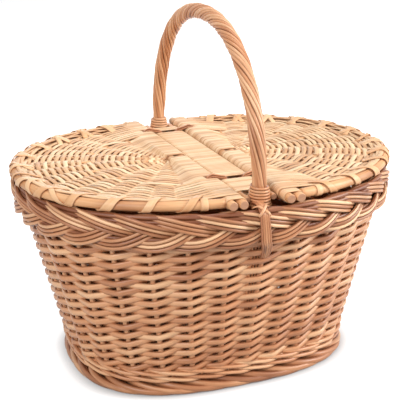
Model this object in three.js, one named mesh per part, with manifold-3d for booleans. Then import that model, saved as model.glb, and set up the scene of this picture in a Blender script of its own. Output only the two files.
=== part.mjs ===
import * as THREE from 'three';
import { mergeVertices } from 'three/addons/utils/BufferGeometryUtils.js';
import Module from 'manifold-3d';

// Oval picnic basket of willow: a woven tub with a plaited rim, a roped bow handle, and two lids
// that swing up on a bar across the middle. Millimetres, X along the basket, Y from front to
// back, Z up from the floor.

// Tub: the middle surface of the wall runs straight from the foot oval up to the rim oval
const footHalfLength = 148.5;
const footHalfWidth = 110;
const footSquareness = 2.7;
const rimHalfLength = 201;
const rimHalfWidth = 160;
const rimSquareness = 2.15;
const rimHeight = 199;

// Clearances: between pieces that touch, beside an upright, round a hinge stick, beside a lid
const fit = 0.35;
const weaveFit = 0.5;
const pinFit = 0.4;
const lidFit = 0.5;

// Foot border and woven base
const footHeight = 12;
const footInward = 3.5;
const footOutward = 10;
const footRodStep = 1.4;
const footRodShare = 0.9;
const footBevel = 3;
const baseThickness = 5;
const baseStickRadius = 2.8;
const baseLongSticks = 3;
const baseCrossSticks = 5;
const baseStickSpacing = 30;

// Uprights and the weavers that pass before and behind them
const stakeCount = 29;
const stakePhase = 0.07;
const stakeRadius = 2.9;
const waleTurns = 4;
const waleHeight = 4.6;
const waleDepth = 4.4;
const weaverHeight = 7.6;
const weaverDepth = 4.2;
const weaverLengths = 3;
const weaverJoin = 1.5;

// Plaited rim: one flat strand that runs five times round
const plaitRounds = 5;
const plaitPhase = 0.36;
const plaitSwing = 17.5;
const plaitSwell = 6.8;
const plaitWidth = 10.2;
const plaitThickness = 3.8;
const plaitOutset = 6.5;
const plaitLean = 0.2;

// Bow handle: core rod, rope of willow round it, wound collar and tail at each foot
const handleRise = 161;
const handleSquareness = 2.2;
const handleInset = 6.5;
const handleSpring = 6;
const coreRadius = 3.6;
const legDepth = 88;
const ropeRadius = 8.4;
const ropeNeckRadius = 6.8;
const ropeFootRadius = 7.2;
const ropeGroove = 1;
const ropeGroups = 4;
const ropeTurns = 4;
const ropeTaper = 14;
const bindingLoops = 5;
const bindingRod = 3.2;
const bindingPitch = 3.9;
const tailRods = 5;
const tailRodWidth = 2.2;
const tailRodBevel = 0.44;
const tailThickness = 2.4;
const tailLanding = 32;
const tailReach = 46;

// Hinge bar: two sticks wound across with flat skein, and the skein loops that carry the lids
const barStickRadius = 3.3;
const barStickReach = 152;
const barSkeinThickness = 1;
const barSkeinWidth = 12;
const barSkeinGap = 0.7;
const hingeFront = -86;
const hingeBack = 112;
const hingeLoopWidth = 8;
const hingeLoopThickness = 1.1;

// Lids: bent hoop, two straight sticks, ribs from the middle of the straight edge, flat weave
const lidHalfLength = 215;
const lidHalfWidth = 164;
const lidSquareness = 2.15;
const hoopRadius = 5;
const lidStickRadius = 4.6;
const lidStickReach = 169;
const lidSkein = 1;
const ribCount = 13;
const ribHalf = 2.1;
const ribHubRadius = 9;
const lidRows = 8;
const lidRowRelief = 1;
const lidPanelHalf = 3.8;

const turn = 2 * Math.PI;
const front = -Math.PI / 2;
const sideways = new THREE.Vector3(1, 0, 0);
const backward = new THREE.Vector3(0, 1, 0);

const wasm = await Module();
wasm.setup();

const willow = (color, roughness) => new THREE.MeshStandardMaterial({ color, roughness, metalness: 0 });
const wallWillow = willow(0xcf9560, 0.62);
const stakeWillow = willow(0xb87a4a, 0.65);
const rimWillow = willow(0xc98a57, 0.58);
const handleWillow = willow(0xc07f4c, 0.55);
const skeinWillow = willow(0xe8c68f, 0.5);
const stickWillow = willow(0xd9a870, 0.55);

const basket = new THREE.Group();

function add(name, geometry, material) {
  const mesh = new THREE.Mesh(geometry, material);
  mesh.name = name;
  basket.add(mesh);
  return mesh;
}

// A closed surface from points and triangles, turned so that its faces point outwards.
function closedSurface(points, triangles) {
  const volume = triangles.reduce((sum, [a, b, c]) => (
    sum + points[a].dot(new THREE.Vector3().crossVectors(points[b], points[c]))), 0);
  const facing = volume > 0 ? triangles : triangles.map(([a, b, c]) => [a, c, b]);
  const geometry = new THREE.BufferGeometry();
  const numbers = points.flatMap((point) => point.toArray());
  geometry.setAttribute('position', new THREE.Float32BufferAttribute(numbers, 3));
  geometry.setIndex(facing.flat());
  return geometry;
}

// Triangles between rings of equally many points; the first ring starts at point number offset.
function ringSides(ringCount, sides, joined, offset) {
  const triangles = [];
  const spans = joined ? ringCount : ringCount - 1;
  for (let i = 0; i < spans; i += 1) {
    const here = offset + i * sides;
    const next = offset + ((i + 1) % ringCount) * sides;
    for (let k = 0; k < sides; k += 1) {
      const side = (k + 1) % sides;
      triangles.push([here + k, here + side, next + k], [here + side, next + side, next + k]);
    }
  }
  return triangles;
}

// Rings joined side by side; a run that isn't joined to its start gets a flat end at each side.
function loft(rings, joined) {
  const sides = rings[0].length;
  const triangles = ringSides(rings.length, sides, joined, 0);
  if (!joined) {
    const last = (rings.length - 1) * sides;
    for (let k = 1; k < sides - 1; k += 1) {
      triangles.push([0, k + 1, k], [last, last + k, last + k + 1]);
    }
  }
  return closedSurface(rings.flat(), triangles);
}

// A rectangular section round a centre, given by two directions and the size along each.
function rectangle(centre, across, width, through, thickness) {
  const corners = [[-0.5, -0.5], [0.5, -0.5], [0.5, 0.5], [-0.5, 0.5]];
  return corners.map(([a, t]) => centre.clone()
    .addScaledVector(across, a * width)
    .addScaledVector(through, t * thickness));
}

// A round section round a centre; radius may be one number or one for each point.
function circle(centre, first, second, sides, radius, start = 0) {
  return Array.from({ length: sides }, (_, k) => {
    const angle = start + turn * k / sides;
    const reach = Array.isArray(radius) ? radius[k] : radius;
    return centre.clone()
      .addScaledVector(first, reach * Math.cos(angle))
      .addScaledVector(second, reach * Math.sin(angle));
  });
}

function roundShape(radius, sides) {
  const points = Array.from({ length: sides }, (_, k) => (
    new THREE.Vector2(radius * Math.cos(turn * k / sides), radius * Math.sin(turn * k / sides))));
  return new THREE.Shape(points);
}

function pointsOnly(geometry) {
  const plain = geometry.clone();
  plain.deleteAttribute('normal');
  plain.deleteAttribute('uv');
  return mergeVertices(plain, 1e-4);
}

function mirrored(geometry, axis) {
  const flip = { x: [-1, 1, 1], y: [1, -1, 1] }[axis];
  const copy = pointsOnly(geometry).scale(...flip);
  const index = Array.from(copy.getIndex().array);
  for (let i = 0; i < index.length; i += 3) {
    [index[i + 1], index[i + 2]] = [index[i + 2], index[i + 1]];
  }
  copy.setIndex(index);
  return copy;
}

function toSolid(geometry) {
  const merged = pointsOnly(geometry);
  return new wasm.Manifold(new wasm.Mesh({
    numProp: 3,
    vertProperties: new Float32Array(merged.getAttribute('position').array),
    triVerts: new Uint32Array(merged.getIndex().array),
  }));
}

function fromSolid(solid) {
  const mesh = solid.getMesh();
  const geometry = new THREE.BufferGeometry();
  geometry.setAttribute('position', new THREE.Float32BufferAttribute(mesh.vertProperties, 3));
  geometry.setIndex(Array.from(mesh.triVerts));
  return geometry;
}

const joinAll = (solids) => solids.reduce((whole, solid) => whole.add(solid));
const cutAll = (body, cutters) => cutters.reduce((rest, cutter) => rest.subtract(cutter), body);

// The wall's middle surface

function ovalRadius(angle, halfX, halfY, squareness) {
  const lengthwise = Math.abs(Math.cos(angle) / halfX) ** squareness;
  const crosswise = Math.abs(Math.sin(angle) / halfY) ** squareness;
  return (lengthwise + crosswise) ** (-1 / squareness);
}

function wallPoint(angle, z) {
  const low = ovalRadius(angle, footHalfLength, footHalfWidth, footSquareness);
  const high = ovalRadius(angle, rimHalfLength, rimHalfWidth, rimSquareness);
  const radius = low + (high - low) * z / rimHeight;
  return new THREE.Vector3(radius * Math.cos(angle), radius * Math.sin(angle), z);
}

function wallFrame(angle, z) {
  const step = 1e-3;
  const point = wallPoint(angle, z);
  const along = wallPoint(angle + step, z).sub(wallPoint(angle - step, z)).normalize();
  const up = wallPoint(angle, z + 1).sub(point).normalize();
  const out = new THREE.Vector3().crossVectors(along, up).normalize();
  return { point, along, up, out };
}

// Lengths round the oval at half height, from the front and on past the right-hand end
const roundSamples = 720;
const roundAngle = (i) => front + turn * i / roundSamples;
const roundLengths = [0];
for (let i = 0; i < roundSamples; i += 1) {
  const here = wallPoint(roundAngle(i), rimHeight / 2);
  const next = wallPoint(roundAngle(i + 1), rimHeight / 2);
  roundLengths.push(roundLengths[i] + here.distanceTo(next));
}
const roundLength = roundLengths[roundSamples];
const stakeSpacing = roundLength / stakeCount;

// Polar angle at a share of the way round, so that equal shares are equal lengths.
function angleAt(share) {
  const target = (share - Math.floor(share)) * roundLength;
  let i = 0;
  while (roundLengths[i + 1] < target) {
    i += 1;
  }
  const part = (target - roundLengths[i]) / (roundLengths[i + 1] - roundLengths[i]);
  return roundAngle(i + part);
}

// The wall leans outwards; its rows are measured up the slope
const slope = Math.min(wallFrame(0, rimHeight).up.z, wallFrame(front, rimHeight).up.z);
const slopeAside = Math.sqrt(1 - slope * slope);
const rowRise = (height) => (height + fit) * slope;
const plaitReach = plaitSwing + plaitWidth / 2;
const wallTop = rimHeight - (plaitReach + fit);

// Foot border: rods laid one over the next round the base, flat underneath
function footBorder() {
  const rings = [];
  for (let j = 0; j < stakeCount; j += 1) {
    for (const [part, step] of [[0, footRodStep], [footRodShare, 0]]) {
      const { point, out } = wallFrame(angleAt((j + part + stakePhase) / stakeCount), 0);
      const outwards = out.setZ(0).normalize();
      const edge = footOutward + step;
      const profile = [
        [-footInward, 0], [edge - footBevel, 0], [edge, footBevel],
        [edge, footHeight - footBevel], [edge - footBevel, footHeight], [-footInward, footHeight],
      ];
      rings.push(profile.map(([reach, z]) => point.clone().addScaledVector(outwards, reach).setZ(z)));
    }
  }
  return loft(rings, true);
}

// Base: the woven mat fills the foot border, and the sticks that stiffen it lie crosswise beneath
const baseTop = footHeight - fit;
const baseStickZ = baseTop - baseThickness - fit - baseStickRadius;

function baseOutline() {
  const points = [];
  for (let j = 0; j < stakeCount; j += 1) {
    for (const part of [0, footRodShare]) {
      const { point, out } = wallFrame(angleAt((j + part + stakePhase) / stakeCount), 0);
      const rim = point.addScaledVector(out.setZ(0).normalize(), -footInward - fit);
      points.push(new THREE.Vector2(rim.x, rim.y));
    }
  }
  return new THREE.Shape(points);
}

function baseMat() {
  const mat = new THREE.ExtrudeGeometry(baseOutline(), { depth: baseThickness, bevelEnabled: false });
  return mat.translate(0, 0, baseTop - baseThickness);
}

function baseSticks() {
  const halfX = footHalfLength - footInward;
  const halfY = footHalfWidth - footInward;
  const reachAt = (offset, along, across) => (
    along * (1 - (Math.abs(offset) / across) ** footSquareness) ** (1 / footSquareness) - baseStickRadius);
  const stick = (half) => new THREE.CylinderGeometry(baseStickRadius, baseStickRadius, 2 * half, 6);
  const sticks = [];
  for (let k = 0; k < baseLongSticks; k += 1) {
    const y = (k - (baseLongSticks - 1) / 2) * baseStickSpacing;
    sticks.push(stick(reachAt(y, halfX, halfY)).rotateZ(Math.PI / 2).translate(0, y, baseStickZ));
  }
  for (let k = 0; k < baseCrossSticks; k += 1) {
    const x = (k - (baseCrossSticks - 1) / 2) * baseStickSpacing;
    sticks.push(stick(reachAt(x, halfY, halfX)).translate(x, 0, baseStickZ));
  }
  return fromSolid(joinAll(sticks.map(toSolid)));
}

// Uprights
function stake(j) {
  const angle = angleAt((j + stakePhase) / stakeCount);
  const low = wallPoint(angle, footHeight + fit + stakeRadius * slopeAside);
  const high = wallPoint(angle, wallTop);
  const direction = high.clone().sub(low);
  const rod = new THREE.CylinderGeometry(stakeRadius, stakeRadius, direction.length(), 5);
  const mesh = add(`stake_${String(j + 1).padStart(2, '0')}`, rod, stakeWillow);
  mesh.position.copy(low).add(high).multiplyScalar(0.5);
  mesh.quaternion.setFromUnitVectors(backward, direction.normalize());
}

// A weaver bent at each upright: side tells on which face it passes upright number m, and rise
// how high it is there. It may start and end between two uprights.
function weaver(first, last, side, rise, height, depth) {
  const reach = stakeRadius + weaveFit + depth / 2;
  const stops = [first];
  for (let m = Math.floor(first) + 1; m < last; m += 1) {
    stops.push(m);
  }
  stops.push(last);
  const rings = stops.map((stop) => {
    const { point, up, out } = wallFrame(angleAt((stop + stakePhase) / stakeCount), rise(stop));
    const before = Math.floor(stop);
    const offset = THREE.MathUtils.lerp(side(before), side(before + 1), stop - before) * reach;
    return rectangle(point.addScaledVector(out, offset), up, height, out, depth);
  });
  return loft(rings, false);
}

const joinShare = weaverJoin / stakeSpacing / 2;
const waleReach = stakeRadius + weaveFit + waleDepth;
const waleStart = footHeight + fit + waleHeight * slope / 2 + waleReach * slopeAside;
const waleRise = (m) => waleStart + rowRise(waleHeight) * m / stakeCount;
const waleSide = (m) => (m % 3 === 2 ? -1 : 1);

const lastWale = waleRise((waleTurns - 1) * stakeCount);
const sidingStart = lastWale + (rowRise(waleHeight) + rowRise(weaverHeight)) / 2;
const sidingEnd = wallTop - weaverHeight / 2;
const sidingTurns = Math.floor((sidingEnd - sidingStart) / rowRise(weaverHeight));
const sidingPitch = (sidingEnd - sidingStart) / sidingTurns;
const sidingRise = (m) => sidingStart + sidingPitch * m / stakeCount;
const sidingSide = (m) => (m % 2 === 0 ? 1 : -1);

// Plait: the strand swings up and down across the rim while it passes to the front and the back
const plaitSteps = 10;
const plaitSwings = stakeCount % plaitRounds === 0 ? stakeCount + 1 : stakeCount;
const plaitHalfDepth = plaitSwell + plaitThickness / 2;

// Directions for the plait, whose top leans in over the basket
function plaitFrame(angle) {
  const { point, along, up, out } = wallFrame(angle, rimHeight);
  up.addScaledVector(out, -plaitLean).normalize();
  out.crossVectors(along, up).normalize();
  return { point, along, up, out };
}

function rimPlait() {
  const rimLength = roundLength * (rimHalfLength + rimHalfWidth) * 2
    / (rimHalfLength + rimHalfWidth + footHalfLength + footHalfWidth);
  const advance = rimLength * plaitRounds / plaitSwings / turn;
  const rings = [];
  for (let i = 0; i < plaitSwings * plaitSteps; i += 1) {
    const phase = turn * (i + 0.5) / plaitSteps;
    const share = (plaitRounds * i / plaitSteps + plaitPhase) / plaitSwings;
    const { point, along, up, out } = plaitFrame(angleAt(share));
    point.addScaledVector(up, plaitSwing * Math.sin(phase));
    point.addScaledVector(out, plaitOutset - plaitSwell * Math.sin(2 * phase));
    const travel = along.multiplyScalar(advance).addScaledVector(up, plaitSwing * Math.cos(phase));
    const across = new THREE.Vector3().crossVectors(out, travel).normalize();
    rings.push(rectangle(point, across, plaitWidth, out, plaitThickness));
  }
  return loft(rings, true);
}

const plait = rimPlait();
plait.computeBoundingBox();
const plaitTop = plait.boundingBox.max.z;

// Handle: the bow stands inside the plait and its legs run down the inner face of the wall
const wallHalf = stakeRadius + weaveFit + Math.max(weaverDepth, waleDepth);
const tailBed = plaitTop + fit + tailThickness / 2;
const collarBase = tailBed + tailThickness / 2 + fit;
const springHeight = plaitTop + handleSpring;

function legPoint(z, innerFace) {
  const { point, out } = wallFrame(front, z);
  return point.addScaledVector(out, -(innerFace + 2 * fit + coreRadius));
}

const legTop = legPoint(rimHeight, plaitHalfDepth - plaitOutset + handleInset);
const handleHalfSpan = -legTop.y;

function bowCurve() {
  const archPoints = 24;
  const leg = [
    legPoint(rimHeight - legDepth, wallHalf), legPoint(wallTop, wallHalf), legTop,
    new THREE.Vector3(0, -handleHalfSpan, collarBase),
  ];
  const arch = Array.from({ length: archPoints + 1 }, (_, i) => {
    const angle = Math.PI * i / archPoints;
    const bend = 2 / handleSquareness;
    const aside = Math.sign(Math.cos(angle)) * Math.abs(Math.cos(angle)) ** bend;
    const height = springHeight + handleRise * Math.abs(Math.sin(angle)) ** bend;
    return new THREE.Vector3(0, -handleHalfSpan * aside, height);
  });
  const farLeg = leg.map((point) => new THREE.Vector3(0, -point.y, point.z)).reverse();
  return new THREE.CatmullRomCurve3([...leg, ...arch, ...farLeg], false, 'centripetal');
}

const bow = bowCurve();
bow.arcLengthDivisions = 2000;
const bowLength = bow.getLength();

// Distance up the front leg at which the rope begins
function ropeStart() {
  let [low, high] = [0, 0.5];
  for (let i = 0; i < 40; i += 1) {
    const middle = (low + high) / 2;
    [low, high] = bow.getPointAt(middle).z < collarBase ? [middle, high] : [low, middle];
  }
  return low * bowLength;
}

const ropeFoot = ropeStart();
const ropeLength = bowLength - 2 * ropeFoot;
const bindingHeight = bindingLoops * bindingPitch + bindingRod + fit;

function ropeRadiusAt(distance) {
  const near = Math.min(distance, ropeLength - distance);
  const { lerp, clamp } = THREE.MathUtils;
  if (near < bindingHeight) {
    return lerp(ropeFootRadius, ropeNeckRadius, near / bindingHeight);
  }
  return lerp(ropeNeckRadius, ropeRadius, clamp((near - bindingHeight) / ropeTaper, 0, 1));
}

function bowFrame(distance) {
  const share = (ropeFoot + distance) / bowLength;
  const tangent = bow.getTangentAt(share);
  const lift = new THREE.Vector3().crossVectors(tangent, sideways);
  return { point: bow.getPointAt(share), tangent, lift };
}

// Rope: groups of rods laid round the core, seen as ridges with a groove between groups
function handleRope() {
  const [outerSides, boreSides, middleRings] = [3 * ropeGroups, 6, 30];
  const boreRadius = (coreRadius + fit) / Math.cos(Math.PI / boreSides);
  const ends = [0, bindingHeight, bindingHeight + ropeTaper];
  const span = ropeLength - 2 * ends[2];
  const middle = Array.from(
    { length: middleRings - 1 }, (_, i) => ends[2] + span * (i + 1) / middleRings);
  const distances = [...ends, ...middle, ...ends.map((end) => ropeLength - end).reverse()];
  const outer = [];
  const bore = [];
  for (const distance of distances) {
    const { point, lift } = bowFrame(distance);
    const ridge = ropeRadiusAt(distance);
    const radii = Array.from(
      { length: outerSides }, (_, k) => (k % 3 === 0 ? ridge - ropeGroove : ridge));
    const twist = -turn * ropeTurns * distance / ropeLength;
    outer.push(circle(point, sideways, lift, outerSides, radii, twist));
    bore.push(circle(point, sideways, lift, boreSides, boreRadius));
  }
  const rings = distances.length;
  const boreStart = rings * outerSides;
  const triangles = ringSides(rings, outerSides, false, 0);
  triangles.push(...ringSides(rings, boreSides, false, boreStart).map(([a, b, c]) => [a, c, b]));
  const flat = (ring, origin) => ring.map((spot) => {
    const arm = spot.clone().sub(origin.point);
    return new THREE.Vector2(arm.dot(sideways), arm.dot(origin.lift));
  });
  for (const [ring, reversed] of [[0, true], [rings - 1, false]]) {
    const origin = bowFrame(distances[ring]);
    const [rim, hole] = [flat(outer[ring], origin), flat(bore[ring], origin)];
    const faces = THREE.ShapeUtils.triangulateShape(rim, [hole]);
    const corners = [...rim, ...hole];
    const number = (k) => (k < outerSides
      ? ring * outerSides + k
      : boreStart + ring * boreSides + k - outerSides);
    for (const [a, b, c] of faces) {
      const first = corners[b].clone().sub(corners[a]);
      const anticlockwise = first.cross(corners[c].clone().sub(corners[a])) > 0;
      const face = anticlockwise === reversed ? [a, c, b] : [a, b, c];
      triangles.push(face.map(number));
    }
  }
  return closedSurface([...outer.flat(), ...bore.flat()], triangles);
}

// Collar: one rod wound round the foot of the rope
function binding() {
  const [steps, sides] = [14, 6];
  const centres = [];
  const rings = [];
  for (let i = 0; i <= bindingLoops * steps; i += 1) {
    const distance = bindingRod / 2 + fit + bindingPitch * i / steps;
    const { point, tangent, lift } = bowFrame(distance);
    const angle = front + turn * i / steps;
    const radial = sideways.clone().multiplyScalar(Math.cos(angle));
    radial.addScaledVector(lift, Math.sin(angle));
    const centre = point.addScaledVector(radial, ropeRadiusAt(0) + fit + bindingRod / 2);
    centres.push(centre);
    rings.push(circle(centre, radial, tangent, sides, bindingRod / 2));
  }
  let least = Infinity;
  for (let i = 0; i < centres.length; i += 1) {
    for (let k = i + steps / 2; k < centres.length; k += 1) {
      least = Math.min(least, centres[i].distanceTo(centres[k]) - bindingRod);
    }
  }
  console.log(`handle binding: least gap between loops ${least.toFixed(2)} mm`);
  return loft(rings, false);
}

// Tail: rods side by side that come from under the collar, over the plait and down to the wall
function handleTail() {
  const rest = fit + tailThickness / 2;
  const place = ({ point, up, out }, climb, reach) => (
    point.clone().addScaledVector(up, climb).addScaledVector(out, reach));
  const onPlait = (climb, reach) => place(plaitFrame(front), climb, plaitOutset + reach);
  const onWall = (climb) => place(wallFrame(front, rimHeight), climb, wallHalf + fit + rest);
  const path = new THREE.CatmullRomCurve3([
    new THREE.Vector3(0, -handleHalfSpan - coreRadius - 2 * fit, tailBed),
    onPlait(plaitReach, 0).setZ(tailBed),
    onPlait(plaitReach, plaitHalfDepth + fit),
    onPlait(plaitSwing / 2, plaitHalfDepth + fit + rest),
    onPlait(-plaitSwing, plaitHalfDepth + fit + rest),
    onPlait(-plaitReach - rest, plaitHalfDepth),
    onWall(-tailLanding),
    onWall(-tailReach),
  ], false, 'centripetal');
  const half = tailRods * tailRodWidth / 2;
  const section = [[half, tailThickness / 2], [-half, tailThickness / 2]];
  for (let k = 0; k < tailRods; k += 1) {
    const start = -half + k * tailRodWidth;
    const end = start + tailRodWidth;
    section.push([start + tailRodBevel, -tailThickness / 2], [end - tailRodBevel, -tailThickness / 2]);
    if (k < tailRods - 1) {
      section.push([end, tailRodBevel - tailThickness / 2]);
    }
  }
  const shape = new THREE.Shape(section.map(([x, y]) => new THREE.Vector2(x, y)));
  return new THREE.ExtrudeGeometry(shape, { steps: 12, extrudePath: path });
}

// Hinge bar: sticks beside the collars, resting on the plait at both ends
const collarRadius = ropeFootRadius + fit + bindingRod;
const barStickX = collarRadius + fit + barStickRadius;
const barZ = plaitTop + fit + barStickRadius;
const barSkeinReach = barStickRadius + fit + barSkeinThickness / 2;
const barHalfWidth = barStickX + barSkeinReach + barSkeinThickness / 2;
const hingeClear = hingeLoopWidth / 2 + lidFit;

// Places along Y of the skein's loops in the runs beside and between the hinge loops
function skeinPlaces() {
  const end = handleHalfSpan - collarRadius - fit;
  const runs = [
    [-end, hingeFront - hingeClear],
    [hingeFront + hingeClear, hingeBack - hingeClear],
    [hingeBack + hingeClear, end],
  ];
  return runs.flatMap(([low, high]) => {
    const count = Math.floor((high - low + barSkeinGap) / (barSkeinWidth + barSkeinGap));
    const pitch = (high - low) / count;
    return Array.from({ length: count }, (_, k) => low + pitch * (k + 0.5));
  });
}

// One flat skein wound round both sticks; it steps on to the next loop underneath, between them
function barSkein() {
  const stepX = barStickX / 2;
  const [right, left] = [[], []];
  for (let k = 0; k <= 4; k += 1) {
    const angle = Math.PI / 2 - Math.PI * k / 4;
    right.push([barStickX, Math.cos(angle), Math.sin(angle)]);
    left.push([-barStickX, -Math.cos(angle), -Math.sin(angle)]);
  }
  const loop = [[-stepX, 0, -1], ...left, ...right, [stepX, 0, -1]];
  const centres = [];
  const rings = [];
  for (const y of skeinPlaces()) {
    for (const [x, normalX, normalZ] of loop) {
      const normal = new THREE.Vector3(normalX, 0, normalZ);
      const centre = new THREE.Vector3(x, y, barZ).addScaledVector(normal, barSkeinReach);
      centres.push(centre);
      rings.push(rectangle(centre, backward, barSkeinWidth, normal, barSkeinThickness));
    }
  }
  const loops = centres.length / loop.length;
  let least = Infinity;
  for (let i = loop.length; i < centres.length; i += 1) {
    least = Math.min(least, centres[i].y - centres[i - loop.length].y - barSkeinWidth);
  }
  console.log(`bar skein: ${loops} loops, least gap between loops ${least.toFixed(2)} mm`);
  return loft(rings, false);
}

// Lid sizes that follow from the bar and the plait
const sleeveRadius = lidStickRadius + fit + lidSkein;
const innerStickX = barHalfWidth + lidFit + sleeveRadius;
const outerStickX = innerStickX + 2 * lidStickRadius + pinFit + hingeLoopThickness + lidFit;
const lidStickZ = plaitTop + fit + lidStickRadius;
const hoopZ = plaitTop + fit + hoopRadius;

// Outline round two circles, as a thread pulled tight about them would lie
function threadOutline(firstX, firstZ, firstRadius, secondX, secondZ, secondRadius, steps) {
  const heading = Math.atan2(secondZ - firstZ, secondX - firstX);
  const distance = Math.hypot(secondX - firstX, secondZ - firstZ);
  const opening = Math.acos((firstRadius - secondRadius) / distance);
  const arc = (x, z, radius, from, to) => Array.from({ length: steps + 1 }, (_, k) => {
    const angle = from + (to - from) * k / steps;
    return new THREE.Vector2(x + radius * Math.cos(angle), z + radius * Math.sin(angle));
  });
  return [
    ...arc(secondX, secondZ, secondRadius, heading - opening, heading + opening),
    ...arc(firstX, firstZ, firstRadius, heading + opening, heading + turn - opening),
  ];
}

// A shape drawn in X and Z, drawn out along Y about a middle place
function acrossBar(shape, middle, width) {
  const geometry = new THREE.ExtrudeGeometry(shape, { depth: width, bevelEnabled: false });
  return geometry.rotateX(Math.PI / 2).translate(0, middle + width / 2, 0);
}

function hingeLoop(y) {
  const steps = 6;
  const facet = Math.cos(Math.PI / 2 / steps);
  const outline = (reach, round) => threadOutline(
    barStickX, barZ, (barStickRadius + reach) / round,
    innerStickX, lidStickZ, (lidStickRadius + reach) / round, steps);
  const shape = new THREE.Shape(outline(pinFit + hingeLoopThickness, 1));
  shape.holes.push(new THREE.Path(outline(pinFit, facet)));
  return acrossBar(shape, y, hingeLoopWidth);
}

// Right-hand lid; the left one is its mirror image
function lidHoop() {
  const [halfX, halfY, steps] = [lidHalfLength - hoopRadius, lidHalfWidth - hoopRadius, 28];
  const startX = outerStickX + lidStickRadius + 3 * fit;
  const startY = halfY * (1 - (startX / halfX) ** lidSquareness) ** (1 / lidSquareness);
  const opening = Math.atan2(startY, startX);
  const points = Array.from({ length: steps + 1 }, (_, i) => {
    const angle = opening * (2 * i / steps - 1);
    const radius = ovalRadius(angle, halfX, halfY, lidSquareness);
    return new THREE.Vector3(radius * Math.cos(angle), radius * Math.sin(angle), hoopZ);
  });
  const path = new THREE.CatmullRomCurve3(points);
  return new THREE.ExtrudeGeometry(roundShape(hoopRadius, 6), { steps, extrudePath: path });
}

// Distance from a point on the straight edge to the inside of the hoop, in a given direction
function lidReach(fromX, angle) {
  const inset = 2 * hoopRadius + 2 * fit;
  let [low, high] = [0, 2 * lidHalfLength];
  for (let i = 0; i < 40; i += 1) {
    const middle = (low + high) / 2;
    const x = Math.abs((fromX + middle * Math.cos(angle)) / (lidHalfLength - inset));
    const y = Math.abs(middle * Math.sin(angle) / (lidHalfWidth - inset));
    [low, high] = x ** lidSquareness + y ** lidSquareness < 1 ? [middle, high] : [low, middle];
  }
  return low;
}

const ribAngle = (k) => Math.PI * ((k + 1) / (ribCount + 1) - 0.5);
const ribHubX = outerStickX + lidStickRadius + fit;

// Ribs joined at a half-round hub whose flat side lies along the outer stick
function ribFan(half, hubRadius, extra, edgeX) {
  const hub = new THREE.CylinderGeometry(hubRadius, hubRadius, 2 * half, 16).rotateX(Math.PI / 2);
  const solids = [hub.translate(ribHubX, 0, hoopZ)];
  for (let k = 0; k < ribCount; k += 1) {
    const length = lidReach(ribHubX, ribAngle(k)) - fit + extra;
    const rib = new THREE.BoxGeometry(length, 2 * half, 2 * half).translate(length / 2, 0, 0);
    solids.push(rib.rotateZ(ribAngle(k)).translate(ribHubX, 0, hoopZ));
  }
  const behind = new THREE.BoxGeometry(2 * hubRadius, 4 * hubRadius, 4 * half);
  return joinAll(solids.map(toSolid)).subtract(toSolid(behind.translate(edgeX - hubRadius, 0, hoopZ)));
}

// Lid panel: half-round rows of skein that pass over and under the ribs in turn
function lidPanel() {
  const fromX = outerStickX + lidStickRadius - lidSkein;
  const columns = ribCount + 1;
  const columnAngle = (j) => Math.PI * (j / columns - 0.5);
  const rowEdge = 0.05;
  const place = (j, share, z) => {
    const far = lidReach(fromX, columnAngle(j));
    const radius = THREE.MathUtils.lerp(ribHubRadius, far, share);
    return new THREE.Vector3(
      fromX + radius * Math.cos(columnAngle(j)), radius * Math.sin(columnAngle(j)), hoopZ + z);
  };
  const lines = [];
  for (let row = 0; row < lidRows; row += 1) {
    lines.push([row === 0 ? 0 : row + rowEdge, row]);
    lines.push([row === lidRows - 1 ? lidRows : row + 1 - rowEdge, row]);
  }
  const points = [];
  for (const [along, row] of lines) {
    for (let j = 0; j <= columns; j += 1) {
      const edge = j === 0 || j === columns;
      const lift = edge ? 0 : lidRowRelief * ((row + j) % 2 === 0 ? 1 : -1);
      points.push(place(j, along / lidRows, lidPanelHalf + lift));
    }
  }
  const bottom = points.length;
  for (const share of [0, 1]) {
    for (let j = 0; j <= columns; j += 1) {
      points.push(place(j, share, -lidPanelHalf));
    }
  }
  const width = columns + 1;
  const lastLine = (lines.length - 1) * width;
  const triangles = [];
  const quad = (a, b, c, d) => triangles.push([a, b, c], [a, c, d]);
  for (let j = 0; j < columns; j += 1) {
    for (let i = 0; i < lines.length - 1; i += 1) {
      const here = i * width + j;
      quad(here, here + width, here + width + 1, here + 1);
    }
    quad(bottom + j, bottom + j + 1, bottom + width + j + 1, bottom + width + j);
    quad(j, j + 1, bottom + j + 1, bottom + j);
    quad(lastLine + j + 1, lastLine + j, bottom + width + j, bottom + width + j + 1);
  }
  for (let i = 0; i < lines.length - 1; i += 1) {
    triangles.push([bottom, (i + 1) * width, i * width]);
    triangles.push([bottom + columns, i * width + columns, (i + 1) * width + columns]);
  }
  triangles.push([bottom, bottom + width, lastLine]);
  triangles.push([bottom + columns, lastLine + columns, bottom + width + columns]);
  return closedSurface(points, triangles);
}

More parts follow.
